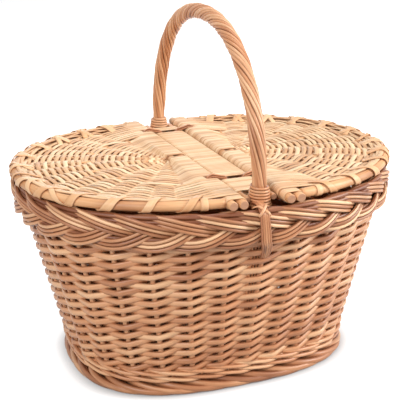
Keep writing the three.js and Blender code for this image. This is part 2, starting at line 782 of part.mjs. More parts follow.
// Lid weave: the panel with the skein carried round both sticks of the straight edge
function lidWeave() {
  const reach = lidReach(outerStickX + lidStickRadius, Math.PI / 2) - fit;
  const sleeve = new THREE.Shape(threadOutline(
    innerStickX, lidStickZ, sleeveRadius, outerStickX, lidStickZ, sleeveRadius, 4));
  const whole = toSolid(lidPanel()).add(toSolid(acrossBar(sleeve, 0, 2 * reach)));
  const boreRadius = (lidStickRadius + fit) / Math.cos(Math.PI / 8);
  const bore = (x) => toSolid(new THREE.CylinderGeometry(boreRadius, boreRadius, 2 * lidStickReach, 8)
    .translate(x, 0, lidStickZ));
  const notchWidth = lidStickRadius + pinFit + hingeLoopThickness + fit;
  const notch = (y) => toSolid(new THREE.BoxGeometry(2 * notchWidth, 2 * hingeClear, 4 * sleeveRadius)
    .translate(innerStickX, y, lidStickZ));
  return fromSolid(cutAll(whole, [
    bore(innerStickX), bore(outerStickX), notch(hingeFront), notch(hingeBack),
    ribFan(ribHalf + fit, ribHubRadius + fit, 4 * hoopRadius, ribHubX - fit),
  ]));
}

function straightStick(radius, reach, x, z) {
  return new THREE.CylinderGeometry(radius, radius, 2 * reach, 8).translate(x, 0, z);
}

const lidStick = (x) => straightStick(lidStickRadius, lidStickReach, x, lidStickZ);
const barStick = () => straightStick(barStickRadius, barStickReach, barStickX, barZ);

// The tub
add('foot_border', footBorder(), rimWillow);
add('base_sticks', baseSticks(), stickWillow);
add('base_mat', baseMat(), wallWillow);
for (let j = 0; j < stakeCount; j += 1) {
  stake(j);
}
const waleLength = waleTurns * stakeCount;
const wale = weaver(joinShare, waleLength - joinShare, waleSide, waleRise, waleHeight, waleDepth);
add('upsett_wale', wale, rimWillow);
const sidingLength = sidingTurns * stakeCount / weaverLengths;
for (let k = 0; k < weaverLengths; k += 1) {
  const siding = weaver(k * sidingLength + joinShare, (k + 1) * sidingLength - joinShare,
    sidingSide, sidingRise, weaverHeight, weaverDepth);
  add(`siding_weaver_${k + 1}`, siding, wallWillow);
}
add('rim_plait', plait, rimWillow);

// The handle
const collar = binding();
const tail = handleTail();
const core = new THREE.ExtrudeGeometry(roundShape(coreRadius, 6), { steps: 44, extrudePath: bow });
add('handle_core', core, stickWillow);
add('handle_rope', handleRope(), handleWillow);
add('handle_binding_front', collar, handleWillow);
add('handle_binding_back', mirrored(collar, 'y'), handleWillow);
add('handle_tail_front', tail, handleWillow);
add('handle_tail_back', mirrored(tail, 'y'), handleWillow);

// The hinge bar
add('hinge_bar_stick_right', barStick(), stickWillow);
add('hinge_bar_stick_left', mirrored(barStick(), 'x'), stickWillow);
add('hinge_bar_skein', barSkein(), skeinWillow);
for (const [place, y] of [['front', hingeFront], ['back', hingeBack]]) {
  add(`hinge_loop_right_${place}`, hingeLoop(y), skeinWillow);
  add(`hinge_loop_left_${place}`, mirrored(hingeLoop(y), 'x'), skeinWillow);
}

// The lids
const lidPieces = [
  ['hoop', lidHoop(), stickWillow],
  ['inner_stick', lidStick(innerStickX), stickWillow],
  ['outer_stick', lidStick(outerStickX), stickWillow],
  ['ribs', fromSolid(ribFan(ribHalf, ribHubRadius, 0, ribHubX)), stickWillow],
  ['weave', lidWeave(), skeinWillow],
];
for (const [piece, geometry, material] of lidPieces) {
  add(`lid_right_${piece}`, geometry, material);
  add(`lid_left_${piece}`, mirrored(geometry, 'x'), material);
}

export default basket;
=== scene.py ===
import bpy
import numpy as np
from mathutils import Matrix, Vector


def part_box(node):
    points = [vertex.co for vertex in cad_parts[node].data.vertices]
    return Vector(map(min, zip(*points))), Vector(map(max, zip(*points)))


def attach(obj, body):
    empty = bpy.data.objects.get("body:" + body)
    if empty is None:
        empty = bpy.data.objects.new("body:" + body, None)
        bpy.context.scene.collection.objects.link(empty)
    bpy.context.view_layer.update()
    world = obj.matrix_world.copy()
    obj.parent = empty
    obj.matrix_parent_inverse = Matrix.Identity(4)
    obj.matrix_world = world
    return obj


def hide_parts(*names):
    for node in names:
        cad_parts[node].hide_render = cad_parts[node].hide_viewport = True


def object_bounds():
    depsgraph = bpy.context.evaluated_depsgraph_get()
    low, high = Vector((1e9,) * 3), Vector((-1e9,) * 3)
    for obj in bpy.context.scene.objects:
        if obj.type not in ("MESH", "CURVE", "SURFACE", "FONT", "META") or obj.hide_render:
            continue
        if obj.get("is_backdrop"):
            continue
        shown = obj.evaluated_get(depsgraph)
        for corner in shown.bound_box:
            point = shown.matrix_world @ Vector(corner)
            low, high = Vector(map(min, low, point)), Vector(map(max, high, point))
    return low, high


# Oval willow picnic basket. Every rod and skein is a section carried along a path; paths are in mm.
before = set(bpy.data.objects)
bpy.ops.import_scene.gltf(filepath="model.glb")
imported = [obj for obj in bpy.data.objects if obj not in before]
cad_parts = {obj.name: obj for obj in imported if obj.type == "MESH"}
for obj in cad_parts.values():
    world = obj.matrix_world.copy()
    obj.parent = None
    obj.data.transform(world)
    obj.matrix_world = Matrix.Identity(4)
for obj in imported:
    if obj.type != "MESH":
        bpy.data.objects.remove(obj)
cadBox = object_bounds()
mm = 0.001
turn = 2 * np.pi
upward = np.array([0, 0, 1.0])
sideways = np.array([1.0, 0, 0])
toBack = np.array([1, -1, 1])  # takes a place at the front to the same place at the back
snug = 0.1  # room between a skein and the stick that it is wound on
dice = np.random.default_rng(29)


# a CAD node's box: its low and its high corner, in mm
def nodeBox(node):
    low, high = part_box(node)
    return np.array(low) / mm, np.array(high) / mm


# the record's sizes that the new pieces are laid against
plaitTop = nodeBox("rim_plait")[1][2]
barX, barZ = np.mean(nodeBox("hinge_bar_stick_right"), 0)[[0, 2]]
innerX, stickZ = np.mean(nodeBox("lid_right_inner_stick"), 0)[[0, 2]]
outerX = np.mean(nodeBox("lid_right_outer_stick"), 0)[0]
hoopZ = np.mean(nodeBox("lid_right_hoop"), 0)[2]
lidStick = np.ptp(nodeBox("lid_right_inner_stick"), 0)[2] / 2


# vectors brought to length one
def unit(v):
    return v / np.maximum(np.linalg.norm(v, axis=-1, keepdims=True), 1e-9)


# part of the way from a to b: a + (b - a) * t
def blendOf(a, b, t):
    return a + (b - a) * t


# eased step from 0 to 1: 3 t^2 - 2 t^3
def eased(t):
    return t ** 2 * (3 - 2 * t)


# a power of the value's size, with the value's sign
def signedPower(value, power):
    return np.sign(value) * np.abs(value) ** power


# length along a path up to each of its points
def runAlong(path):
    return np.concatenate([[0], np.cumsum(np.linalg.norm(np.diff(path, axis=0), axis=1))])


# straight reading of a list of points, or of directions, between its stations
def pathAt(place, stations, path):
    return np.stack([np.interp(place, stations, path[:, axis]) for axis in range(3)], -1)


# smooth curve through points: cubic pieces whose slope at a point is half the step from its neighbours
def curveThrough(points, count):
    p = np.asarray(points, float)
    last = len(p) - 1
    p = np.concatenate([2 * p[:1] - p[1:2], p, 2 * p[-1:] - p[-2:-1]])
    t = np.linspace(0, last, count)
    i = np.minimum(t.astype(int), last - 1)
    f = (t - i)[:, None]
    a, b, c, d = p[i], p[i + 1], p[i + 2], p[i + 3]
    return 0.5 * (2 * b + (c - a) * f + (2 * a - 5 * b + 4 * c - d) * f ** 2
                  + (3 * b - a - 3 * c + d) * f ** 3)


# straight runs between repeating stop values, softened by the mean over a short stretch either side
def throughStops(values, m, soften=0.5, samples=9):
    values = np.asarray(values, float)
    place = m[..., None] + np.linspace(-soften / 2, soften / 2, samples)
    low = np.floor(place).astype(int)
    part = place - low
    count = len(values)
    return (values[low % count] * (1 - part) + values[(low + 1) % count] * part).mean(-1)


# a rod's skin: girth for a mm of width plus depth, how high the painted shade along its edges reaches, and
# how many metres its map is shifted at random
rodSkin = {"girth": 1.57, "grooveHeight": 0.75, "shift": 40}


# section round a path, for every ring at once: centre + across * wide/2 * cos + through * deep/2 * sin.
# centre is (rods, rings, 3); square above 2 flattens the section's sides; cut marks the sawn ends, and
# one more strength sets the painted shade: how much darker the rod is painted along its two edges, where it
# lies against its neighbours.
def sweep(centre, out, wide, deep, sides=8, closed=False, square=2.0, tint=0.5, cut=0.0, groove=0.0,
          ahead=None):
    centre = np.asarray(centre, float)
    rods, rings = centre.shape[:2]
    if ahead is None:
        ahead = np.roll(centre, -1, 1) - np.roll(centre, 1, 1) if closed else np.gradient(centre, axis=1)
    tangent = unit(np.broadcast_to(ahead, centre.shape))
    across = unit(np.cross(np.broadcast_to(out, centre.shape), tangent))
    through = np.cross(tangent, across)
    angle = turn * np.arange(sides) / sides
    cosine = signedPower(np.cos(angle), 2 / square)
    sine = signedPower(np.sin(angle), 2 / square)
    wide = np.broadcast_to(wide, (rods, rings))[..., None, None]
    deep = np.broadcast_to(deep, (rods, rings))[..., None, None]
    points = (centre[:, :, None] + across[:, :, None] * wide / 2 * cosine[:, None]
              + through[:, :, None] * deep / 2 * sine[:, None])
    ring = np.arange(rods * rings * sides).reshape(rods, rings, sides)
    here = ring if closed else ring[:, :-1]
    there = np.roll(ring, -1, 1) if closed else ring[:, 1:]
    quads = np.stack([here, np.roll(here, -1, 2), np.roll(there, -1, 2), there], -1).reshape(-1)
    # map: metres along the rod and metres round it, shifted at random for each rod
    step = np.linalg.norm(np.diff(centre, axis=1, append=centre[:, :1]), axis=-1)
    length = np.concatenate([np.zeros((rods, 1)), np.cumsum(step, 1)], 1) * mm
    length = length + dice.uniform(0, rodSkin["shift"], (rods, 1))
    girth = float(np.mean(wide + deep)) * rodSkin["girth"] * mm
    spans = here.shape[1]
    u0 = np.broadcast_to(length[:, :spans, None], here.shape)
    u1 = np.broadcast_to(length[:, 1:spans + 1, None], here.shape)
    v0 = np.broadcast_to(np.arange(sides) / sides * girth, here.shape)
    v1 = v0 + girth / sides
    uvs = np.stack([np.stack([u0, v0], -1), np.stack([u0, v1], -1),
                    np.stack([u1, v1], -1), np.stack([u1, v0], -1)], -2).reshape(-1, 2)
    sizes = np.full(here.size, 4)
    smooth = np.ones(here.size, bool)
    if not closed:
        ends = np.concatenate([ring[:, 0, ::-1], ring[:, -1]])
        quads = np.concatenate([quads, ends.reshape(-1)])
        sizes = np.concatenate([sizes, np.full(len(ends), sides)])
        smooth = np.concatenate([smooth, np.zeros(len(ends), bool)])
        disc = np.stack([np.cos(angle), np.sin(angle)], -1) * girth / turn
        uvs = np.concatenate([uvs, np.tile(disc, (len(ends), 1))])
    tint = np.asarray(tint, float)
    tint = tint[:, None] if tint.ndim == 1 else tint
    spread = lambda value: np.repeat(np.broadcast_to(value, (rods, rings)).reshape(-1), sides)
    # painted shade along the section's two sides, strongest at the sides and none on its top and bottom faces
    edges = np.clip(1 - np.abs(np.sin(angle)) / rodSkin["grooveHeight"], 0, 1)
    return {"points": points.reshape(-1, 3), "corners": quads, "sizes": sizes, "uvs": uvs, "smooth": smooth,
            "tint": spread(tint), "cut": spread(cut), "groove": np.tile(groove * edges, rods * rings)}


# a stick's end: stations from the saw cut inwards, the share of its full thickness there, and the cut's mark
stickEnd = {"run": (0, 0.28, 1.05), "full": (0.84, 0.95, 1.0), "sawn": (1, 0.4, 0), "between": 7}


# straight level sticks from start to end, with the ends sawn and their edges eased
def sticks(start, end, radius, sides=14, tint=0.5):
    start, end = np.atleast_2d(start).astype(float), np.atleast_2d(end).astype(float)
    reach = np.linalg.norm(end - start, axis=1)[:, None]
    run, full, sawn = (np.array(stickEnd[key]) for key in ("run", "full", "sawn"))
    inner = np.linspace(0, 1, stickEnd["between"] + 2)[1:-1]
    stations = np.concatenate([np.broadcast_to(run, (len(start), 3)), inner * reach, reach - run[::-1]], 1)
    thick = np.concatenate([full, np.ones(len(inner)), full[::-1]]) * 2 * radius
    cut = np.concatenate([sawn, np.zeros(len(inner)), sawn[::-1]])
    heading = unit(end - start)[:, None]
    centre = start[:, None] + heading * stations[..., None]
    return sweep(centre, upward, thick, thick, sides, tint=tint, cut=cut, ahead=heading)


# the same surface seen in a mirror across x = 0, with its faces turned round to point outwards again
def mirrorX(surface):
    sizes = surface["sizes"]
    starts = np.repeat(np.cumsum(sizes) - sizes, sizes)
    offset = np.arange(len(starts)) - starts
    order = starts + np.repeat(sizes, sizes) - 1 - offset
    return dict(surface, points=surface["points"] * [-1, 1, 1], corners=surface["corners"][order],
                uvs=surface["uvs"][order])


# surfaces joined in one mesh with its map, tint, cut and painted shade; it rides a body in place of CAD nodes
def makePiece(name, surfaces, finish, body, nodes, slot):
    first = np.cumsum([0] + [len(s["points"]) for s in surfaces])
    join = lambda key: np.concatenate([s[key] for s in surfaces])
    corners = np.concatenate([s["corners"] + k for s, k in zip(surfaces, first)])
    points, sizes = join("points") * mm, join("sizes")
    mesh = bpy.data.meshes.new(name)
    mesh.vertices.add(len(points))
    mesh.vertices.foreach_set("co", points.astype(np.float32).ravel())
    mesh.loops.add(len(corners))
    mesh.loops.foreach_set("vertex_index", corners.astype(np.int32))
    mesh.polygons.add(len(sizes))
    mesh.polygons.foreach_set("loop_start", (np.cumsum(sizes) - sizes).astype(np.int32))
    mesh.polygons.foreach_set("use_smooth", join("smooth"))
    mesh.uv_layers.new(name="rod").data.foreach_set("uv", join("uvs").astype(np.float32).ravel())
    for key in ("tint", "cut", "groove"):
        mesh.attributes.new(key, "FLOAT", "POINT").data.foreach_set("value", join(key).astype(np.float32))
    mesh.update(calc_edges=True)
    mesh.materials.append(willows[finish])
    piece = bpy.data.objects.new(name, mesh)
    bpy.context.scene.collection.objects.link(piece)
    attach(piece, body)
    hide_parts(*nodes)
    print("  %s: %d faces" % (name, len(sizes)))


# display colour 0-255 to a socket's linear colour
def tone(red, green, blue):
    c = np.array([red, green, blue]) / 255
    return (*np.where(c <= 0.04045, c / 12.92, ((c + 0.055) / 1.055) ** 2.4).tolist(), 1.0)


# two makers for a node tree: any node, whose inputs are values or other nodes' sockets, and a math node
def nodeMakers(tree):
    def node(kind, inputs=(), **settings):
        made = tree.nodes.new("ShaderNode" + kind)
        for key, value in settings.items():
            setattr(made, key, value)
        for socket, value in dict(inputs).items():
            if isinstance(value, bpy.types.NodeSocket):
                tree.links.new(value, made.inputs[socket])
            else:
                made.inputs[socket].default_value = value
        return made

    def math(kind, a, b):
        return node("Math", {0: a, 1: b}, operation=kind).outputs[0]

    return node, math


# finishes: three display colours from the darkest rod to the lightest, and roughness
finishes = {
    "wallWillow": {"dark": (146, 83, 50), "middle": (208, 147, 104), "light": (240, 194, 150), "rough": 0.4},
    "stakeWillow": {"dark": (150, 90, 58), "middle": (206, 148, 108), "light": (230, 180, 138), "rough": 0.5},
    "rimWillow": {"dark": (116, 63, 38), "middle": (186, 126, 86), "light": (246, 200, 155), "rough": 0.42},
    "handleWillow": {"dark": (148, 84, 53), "middle": (202, 141, 98), "light": (234, 188, 146),
                     "rough": 0.38},
    "skeinWillow": {"dark": (188, 136, 96), "middle": (222, 178, 134), "light": (242, 211, 171),
                    "rough": 0.56},
    "stickWillow": {"dark": (164, 106, 68), "middle": (216, 162, 114), "light": (240, 198, 154),
                    "rough": 0.5},
}
# what all finishes share; streak, fibre and knot hold waves in a metre along the rod and round it
grain = {"streak": (16, 420), "fibre": (70, 2200), "knot": (11, 34), "stain": 26,
         "tintShare": 0.5, "streakShare": 0.34, "stainShare": 0.26, "fibreShare": 0.12,
         "stops": (0.3, 0.58, 0.88), "knotEdge": (0.05, 0.11), "knotDepth": 0.6, "knotColor": (96, 52, 28),
         "sawn": (196, 146, 112), "sawnDark": (160, 112, 84), "grooveColor": (0.34, 0.2, 0.14, 1),
         "roughSpread": 0.22, "streakRelief": 0.6, "fibreRelief": 0.4, "bump": 0.35, "bumpDepth": 0.0006,
         "ior": 1.45, "coat": 0.06, "coatRough": 0.35}


# willow: the rod's own tint, long streaks and fine fibre along it, soft stains across pieces, small knots,
# and painted shade along the rods' edges
def willow(name, dark, middle, light, rough):
    material = bpy.data.materials.new(name)
    material.use_nodes = True
    node, math = nodeMakers(material.node_tree)
    rodMap = node("UVMap", uv_map="rod").outputs[0]
    place = node("TexCoord").outputs["Object"]
    attribute = lambda key: node("Attribute", attribute_name=key).outputs["Fac"]

    def stretched(key):
        return node("Mapping", {"Vector": rodMap, "Scale": (*grain[key], 1)}).outputs[0]

    def noise(vector, scale, detail, roughness):
        return node("TexNoise", {"Vector": vector, "Scale": scale, "Detail": detail,
                                 "Roughness": roughness}).outputs[0]

    def mixed(share, a, b, blend="MIX"):
        return node("Mix", {0: share, 6: a, 7: b}, data_type="RGBA", blend_type=blend).outputs[2]

    # sum of layers, each times its share
    def layered(*layers):
        total, *others = [math("MULTIPLY", layer, grain[share]) for layer, share in layers]
        for other in others:
            total = math("ADD", total, other)
        return total

    streak = noise(stretched("streak"), scale=1, detail=3, roughness=0.6)
    fibre = noise(stretched("fibre"), scale=1, detail=2, roughness=0.5)
    stain = noise(place, scale=grain["stain"], detail=2, roughness=0.5)
    cells = node("TexVoronoi", {"Vector": stretched("knot"), "Scale": 1, "Randomness": 1.0})
    shade = layered((attribute("tint"), "tintShare"), (streak, "streakShare"), (stain, "stainShare"),
                    (fibre, "fibreShare"))
    ramp = node("ValToRGB", {"Fac": shade})
    first, between, last = grain["stops"]
    stops = ramp.color_ramp.elements
    stops[0].position, stops[0].color = first, tone(*dark)
    stops[1].position, stops[1].color = last, tone(*light)
    middleStop = stops.new(between)
    middleStop.color = tone(*middle)
    inner, outer = grain["knotEdge"]
    knotMask = node("MapRange", {0: cells.outputs["Distance"], 1: inner, 2: outer, 3: grain["knotDepth"],
                                 4: 0.0}).outputs[0]
    knotted = mixed(knotMask, ramp.outputs[0], tone(*grain["knotColor"]))
    sawn = mixed(streak, tone(*grain["sawn"]), tone(*grain["sawnDark"]))
    color = mixed(attribute("cut"), knotted, sawn)
    # painted shade: the colour darkened where rods lie against their neighbours
    shadowed = mixed(1.0, color, grain["grooveColor"], "MULTIPLY")
    spread = grain["roughSpread"]
    relief = layered((streak, "streakRelief"), (fibre, "fibreRelief"))
    bump = node("Bump", {"Height": relief, "Strength": grain["bump"], "Distance": grain["bumpDepth"]})
    linked = {"Base Color": mixed(attribute("groove"), color, shadowed),
              "Roughness": math("ADD", math("MULTIPLY", streak, spread), rough - spread / 2),
              "Normal": bump.outputs[0]}
    shader = material.node_tree.nodes["Principled BSDF"]
    for socket, source in linked.items():
        material.node_tree.links.new(source, shader.inputs[socket])
    shader.inputs["IOR"].default_value = grain["ior"]
    shader.inputs["Coat Weight"].default_value = grain["coat"]
    shader.inputs["Coat Roughness"].default_value = grain["coatRough"]
    return material


willows = {name: willow(name, **settings) for name, settings in finishes.items()}
print("finishes: %d willows" % len(willows))

# the tub's wall: its middle surface runs straight from the foot oval up to the rim oval
wall = {"footHalf": (148.5, 110), "footSquare": 2.7, "rimHalf": (201, 160), "rimSquare": 2.15, "height": 199,
        "stakes": 29, "phase": 0.07, "samples": 1441, "angleStep": 1e-3, "heightStep": 1}
stakeCount = wall["stakes"]


# polar radius of an oval: (|cos/a|^n + |sin/b|^n)^(-1/n)
def ovalRadius(angle, half, square):
    x, y = np.abs(np.cos(angle) / half[0]), np.abs(np.sin(angle) / half[1])
    return (x ** square + y ** square) ** (-1 / square)


# half an oval's length along one axis, at a distance from that axis: a (1 - |offset/b|^n)^(1/n)
def ovalChord(offset, along, across, square):
    return along * (1 - np.abs(offset / across) ** square) ** (1 / square)


# polar angle and height to a point of the wall, whose radius is the mix of the two ovals' radii
def wallPoint(angle, z):
    low = ovalRadius(angle, wall["footHalf"], wall["footSquare"])
    high = ovalRadius(angle, wall["rimHalf"], wall["rimSquare"])
    radius = blendOf(low, high, z / wall["height"])
    return np.stack([radius * np.cos(angle), radius * np.sin(angle), np.broadcast_to(z, radius.shape)], -1)


roundAngles = np.linspace(-np.pi / 2, 1.5 * np.pi, wall["samples"])
roundLengths = runAlong(wallPoint(roundAngles, wall["height"] / 2))


# share of the way round from the front, equal shares being equal lengths, to the polar angle
def roundAngle(share):
    return np.interp(np.mod(share, 1) * roundLengths[-1], roundLengths, roundAngles)


# share of the way round and height to the point there and the directions along the wall, up it and out of it
def wallFrame(share, z):
    angle = roundAngle(share)
    z = np.broadcast_to(np.asarray(z, float), angle.shape)
    point = wallPoint(angle, z)
    along = unit(wallPoint(angle + wall["angleStep"], z) - wallPoint(angle - wall["angleStep"], z))
    up = unit(wallPoint(angle, z + wall["heightStep"]) - point)
    return point, along, up, unit(np.cross(along, up))


# number of an upright, or a place between two, to the share of the way round
def stakeShare(m):
    return (m + wall["phase"]) / stakeCount


# uprights: straight round rods, a little thinner at the top
uprights = {"radius": 3.0, "bottom": 10.5, "top": 183, "rings": 16, "taper": (1.03, 0.92), "tint": (0.5, 0.9)}


# a rod at each upright's share, straight up the wall's middle surface
def makeStakes():
    heights = np.linspace(uprights["bottom"], uprights["top"], uprights["rings"])
    share, z = np.meshgrid(stakeShare(np.arange(stakeCount)), heights, indexing="ij")
    point, _, _, out = wallFrame(share, z)
    thick = 2 * uprights["radius"] * np.linspace(*uprights["taper"], uprights["rings"])
    stakes = sweep(point, out, thick, thick, sides=9, tint=dice.uniform(*uprights["tint"], stakeCount))
    makePiece("stakes", [stakes], "stakeWillow", "basket",
              ["stake_%02d" % (k + 1) for k in range(stakeCount)], "stake_willow")


# siding: a rod from each upright climbs one row at every upright and passes behind and before them in turn
siding = {"firstZ": 26.7, "pitch": 5.35, "bands": (-0.4, 10, 20, 31.6), "overlap": 0.35, "rod": 6.75,
          "deep": 4.0, "square": 2.8, "swell": 0.05, "backSwell": 0.2, "reach": 4.9, "sharp": 0.9997,
          "steps": 10, "taper": (1.04, 1.0), "wobble": 0.25, "wobbles": 97, "wobbleShift": 7.3,
          "uneven": 0.025, "tint": (0.15, 0.85), "groove": 0.65}


# a rod's distance from the wall's middle is a softened zigzag, -asin(s cos(pi row)) / asin(s), and it is a
# little taller between two uprights and behind one, where it lies tight on the rods above and below
def makeSiding():
    rod = np.arange(stakeCount)[:, None]
    bands = siding["bands"]
    wobbles = dice.normal(0, siding["wobble"], siding["wobbles"])
    for k in range(len(bands) - 1):
        first, last = bands[k] - siding["overlap"], bands[k + 1] + siding["overlap"]
        row = np.linspace(first, last, round((last - first) * siding["steps"]) + 1)
        wobble = throughStops(wobbles, row + siding["wobbleShift"] * rod)
        z = siding["firstZ"] + siding["pitch"] * row + wobble
        point, _, _, out = wallFrame(stakeShare(rod + row), z)
        side = -np.arcsin(siding["sharp"] * np.cos(np.pi * row)) / np.arcsin(siding["sharp"])
        path = point + out * (siding["reach"] * side)[:, None]
        uneven = dice.normal(1, siding["uneven"], (stakeCount, 1))
        full = np.linspace(*siding["taper"], len(row)) * uneven
        fuller = siding["swell"] * (1 - np.abs(side)) + siding["backSwell"] * np.maximum(-side, 0)
        height = siding["rod"] * full * (1 + fuller)
        weavers = sweep(path, out, height, siding["deep"] * full, square=siding["square"],
                        groove=siding["groove"], tint=dice.uniform(*siding["tint"], stakeCount))
        makePiece("sidingWeaver%d" % (k + 1), [weavers], "wallWillow", "basket",
                  ["siding_weaver_%d" % (k + 1)], "wall_willow")


# upsett wale: rounds of three rods that each pass before two uprights and behind one
wale = {"rows": (20.0, 27.8), "rod": 4.7, "flat": 0.95, "reach": 5.3, "stroke": 1.12, "steps": 8, "seam": 14,
        "passes": (1, 1, -1), "passSoft": 0.55, "lifts": (0.5, -0.5, 0), "liftSoft": 0.7,
        "tint": (0.3, 0.75), "groove": 0.7}


# the three rods read the same stops for their reach and their lift, each one upright further on
def makeWale():
    m = np.linspace(0, stakeCount, stakeCount * wale["steps"] + 1)
    strand = np.arange(len(wale["passes"]))[:, None]
    side = wale["stroke"] * throughStops(wale["passes"], m + strand, wale["passSoft"])
    lift = throughStops(wale["lifts"], m + strand, wale["liftSoft"]) * wale["rod"]
    rounds = []
    for z in wale["rows"]:
        point, _, up, out = wallFrame(stakeShare(m + wale["seam"]), z)
        path = point + out * (wale["reach"] * side)[..., None] + up * lift[..., None]
        rounds.append(sweep(path, out, wale["rod"], wale["rod"] * wale["flat"],
                            tint=dice.uniform(*wale["tint"], len(strand)), groove=wale["groove"]))
    makePiece("upsettWale", rounds, "wallWillow", "basket", ["upsett_wale"], "rim_willow")


# foot border: each thick rod comes out over the next and runs down to the floor beneath the ones after it.
# path holds uprights passed, distance out from the wall, and height
footBorder = {"rod": 7.9, "flat": 0.96, "rings": 34, "uneven": 0.04, "tint": (0.15, 0.65), "groove": 0.95,
              "taperAt": (0, 0.08, 0.7, 1), "taper": (0.9, 1.04, 1, 0.8),
              "path": [(-0.5, -4.0, 11.0), (-0.2, 1.5, 11.0), (0.2, 6.8, 10.2), (0.65, 9.6, 8.0),
                       (1.2, 10.7, 5.6), (1.8, 10.2, 4.5), (2.4, 8.2, 4.3), (3.0, 3.8, 4.3),
                       (3.4, -1.5, 4.3)]}


# the same curve, laid level out from the wall's foot, starts at each upright
def makeFoot():
    rings = footBorder["rings"]
    route = curveThrough(footBorder["path"], rings)
    share = stakeShare(np.arange(stakeCount)[:, None] + route[None, :, 0])
    point, _, _, out = wallFrame(share, 0.0)
    level = unit(out * [1, 1, 0])
    path = point + level * route[None, :, 1:2] + upward * route[None, :, 2:3]
    taper = np.interp(np.linspace(0, 1, rings), footBorder["taperAt"], footBorder["taper"])
    thick = footBorder["rod"] * (dice.normal(1, footBorder["uneven"], (stakeCount, 1)) * taper)
    rods = sweep(path, level, thick, footBorder["flat"] * thick, sides=10,
                 tint=dice.uniform(*footBorder["tint"], stakeCount), groove=footBorder["groove"])
    makePiece("footBorder", [rods], "rimWillow", "basket", ["foot_border"], "rim_willow")


# base: spokes spread from a short spine, one spiral rod woven over and under them, a rod laid round the edge
# that closes the corner between the base, the foot and the wall, and sticks beneath
base = {"spine": 37, "spineRod": 3.2, "spineOver": 3, "fan": 1.05, "half": (144.5, 107), "square": 2.7,
        "middleZ": 9.15, "pitch": 5.0, "open": 4, "steps": 6, "reach": (0.03, 0.985), "fill": 1.05,
        "overlap": 1.0, "deep": 2.8, "wave": 1.6, "tints": 64, "tintRun": 40, "tint": (0.2, 0.8),
        "groove": 0.5, "spoke": 1.3, "spokeReach": (0.02, 0.99), "spokeRings": 10, "edge": 8.8, "edgeZ": 9.2,
        "edgeIn": 5.2, "edgeRings": 240, "edgeShadeTint": 0.0, "stick": 2.8, "stickZ": 3.5,
        "stickTint": (0.3, 0.7), "stickHalf": (143.5, 106.5), "longSticks": (-30, 0, 30),
        "crossSticks": (-60, -30, 0, 30, 60)}


# from the spine's nearest point out to the base's edge, spine + (edge - spine) * reach, and that distance
def basePoint(share, reach, z):
    angle = roundAngle(share)
    radius = ovalRadius(angle, base["half"], base["square"])
    edge = np.stack([radius * np.cos(angle), radius * np.sin(angle)], -1)
    along = edge[..., 0] * base["spine"] / base["half"][0] * base["fan"]
    along = np.clip(along, -base["spine"], base["spine"])
    spine = np.stack([along, np.zeros(angle.shape)], -1)
    flat = spine + (edge - spine) * reach[..., None]
    point = np.concatenate([flat, np.broadcast_to(z, angle.shape)[..., None]], -1)
    return point, np.linalg.norm(edge - spine, axis=-1)


# the spiral's reach grows evenly with the uprights passed, and its height swings as a sine over them
def makeBase():
    turns = int((base["half"][1] - base["open"]) / base["pitch"])
    m = np.linspace(0, turns * stakeCount, turns * stakeCount * base["steps"] + 1)
    reach = blendOf(*base["reach"], m / m[-1])
    wave = base["wave"] * np.sin(np.pi * (m + 0.5))
    path, span = basePoint(stakeShare(m), reach, base["middleZ"] + wave)
    tints = dice.uniform(*base["tint"], base["tints"])
    spiral = sweep(path[None], upward, base["fill"] * span / turns + base["overlap"], base["deep"],
                   groove=base["groove"], tint=tints[(m // base["tintRun"]).astype(int)][None])
    spread = np.linspace(*base["spokeReach"], base["spokeRings"])
    share, reach = np.meshgrid(stakeShare(np.arange(stakeCount)), spread, indexing="ij")
    path, _ = basePoint(share, reach, base["middleZ"])
    spokes = sweep(path, upward, 2 * base["spoke"], 2 * base["spoke"],
                   tint=dice.uniform(*base["stickTint"], stakeCount))
    spineEnd = np.array([base["spine"] + base["spineOver"], 0, base["middleZ"]])
    spine = sticks(spineEnd * [-1, 1, 1], spineEnd, base["spineRod"])
    share = np.linspace(0, 1, base["edgeRings"], endpoint=False)
    point, _, _, out = wallFrame(share, base["edgeZ"])
    path = point - out * base["edgeIn"]
    # the edge rod takes the darkest tint: painted shade, so the corner it fills between base, foot and wall
    # reads dark
    edge = sweep(path[None], out[None], base["edge"], base["edge"], closed=True, tint=base["edgeShadeTint"])
    makePiece("baseWeave", [spiral, spokes, spine, edge], "wallWillow", "basket", ["base_mat"], "wall_willow")
    halfX, halfY = base["stickHalf"]
    y, x = np.array(base["longSticks"]), np.array(base["crossSticks"])
    longReach = ovalChord(y, halfX, halfY, base["square"]) - base["stick"]
    crossReach = ovalChord(x, halfY, halfX, base["square"]) - base["stick"]
    longEnds = np.stack([longReach, y, 0 * y + base["stickZ"]], -1)
    crossEnds = np.stack([x, crossReach, 0 * x + base["stickZ"]], -1)
    starts = np.concatenate([longEnds * [-1, 1, 1], crossEnds * toBack])
    ends = np.concatenate([longEnds, crossEnds])
    under = sticks(starts, ends, base["stick"], tint=dice.uniform(*base["stickTint"], len(ends)))
    makePiece("baseSticks", [under], "stickWillow", "basket", ["base_sticks"], "stick_willow")


# plaited rim: five strands of three rods, and the uprights' ends that run on round the rim inside them.
# girth is the length round the rim
plait = {"rounds": 5, "swings": 29, "girth": 1170, "shift": 64.0, "swing": 12.8, "centre": 3.4, "swell": 5.4,
         "outset": 6.5, "lean": 0.2, "rod": 4.05, "uneven": 0.06, "unevenRun": 3.7, "unevenStep": 2,
         "spacing": 4.1, "rods": (-1, 0, 1), "steps": 30, "tint": (0.15, 1.0), "groove": 0.95,
         "core": (-8, -3.5, 10, 14.5, 19.5), "coreRod": 5.0, "coreRings": 360, "coreShadeTint": 0.0}


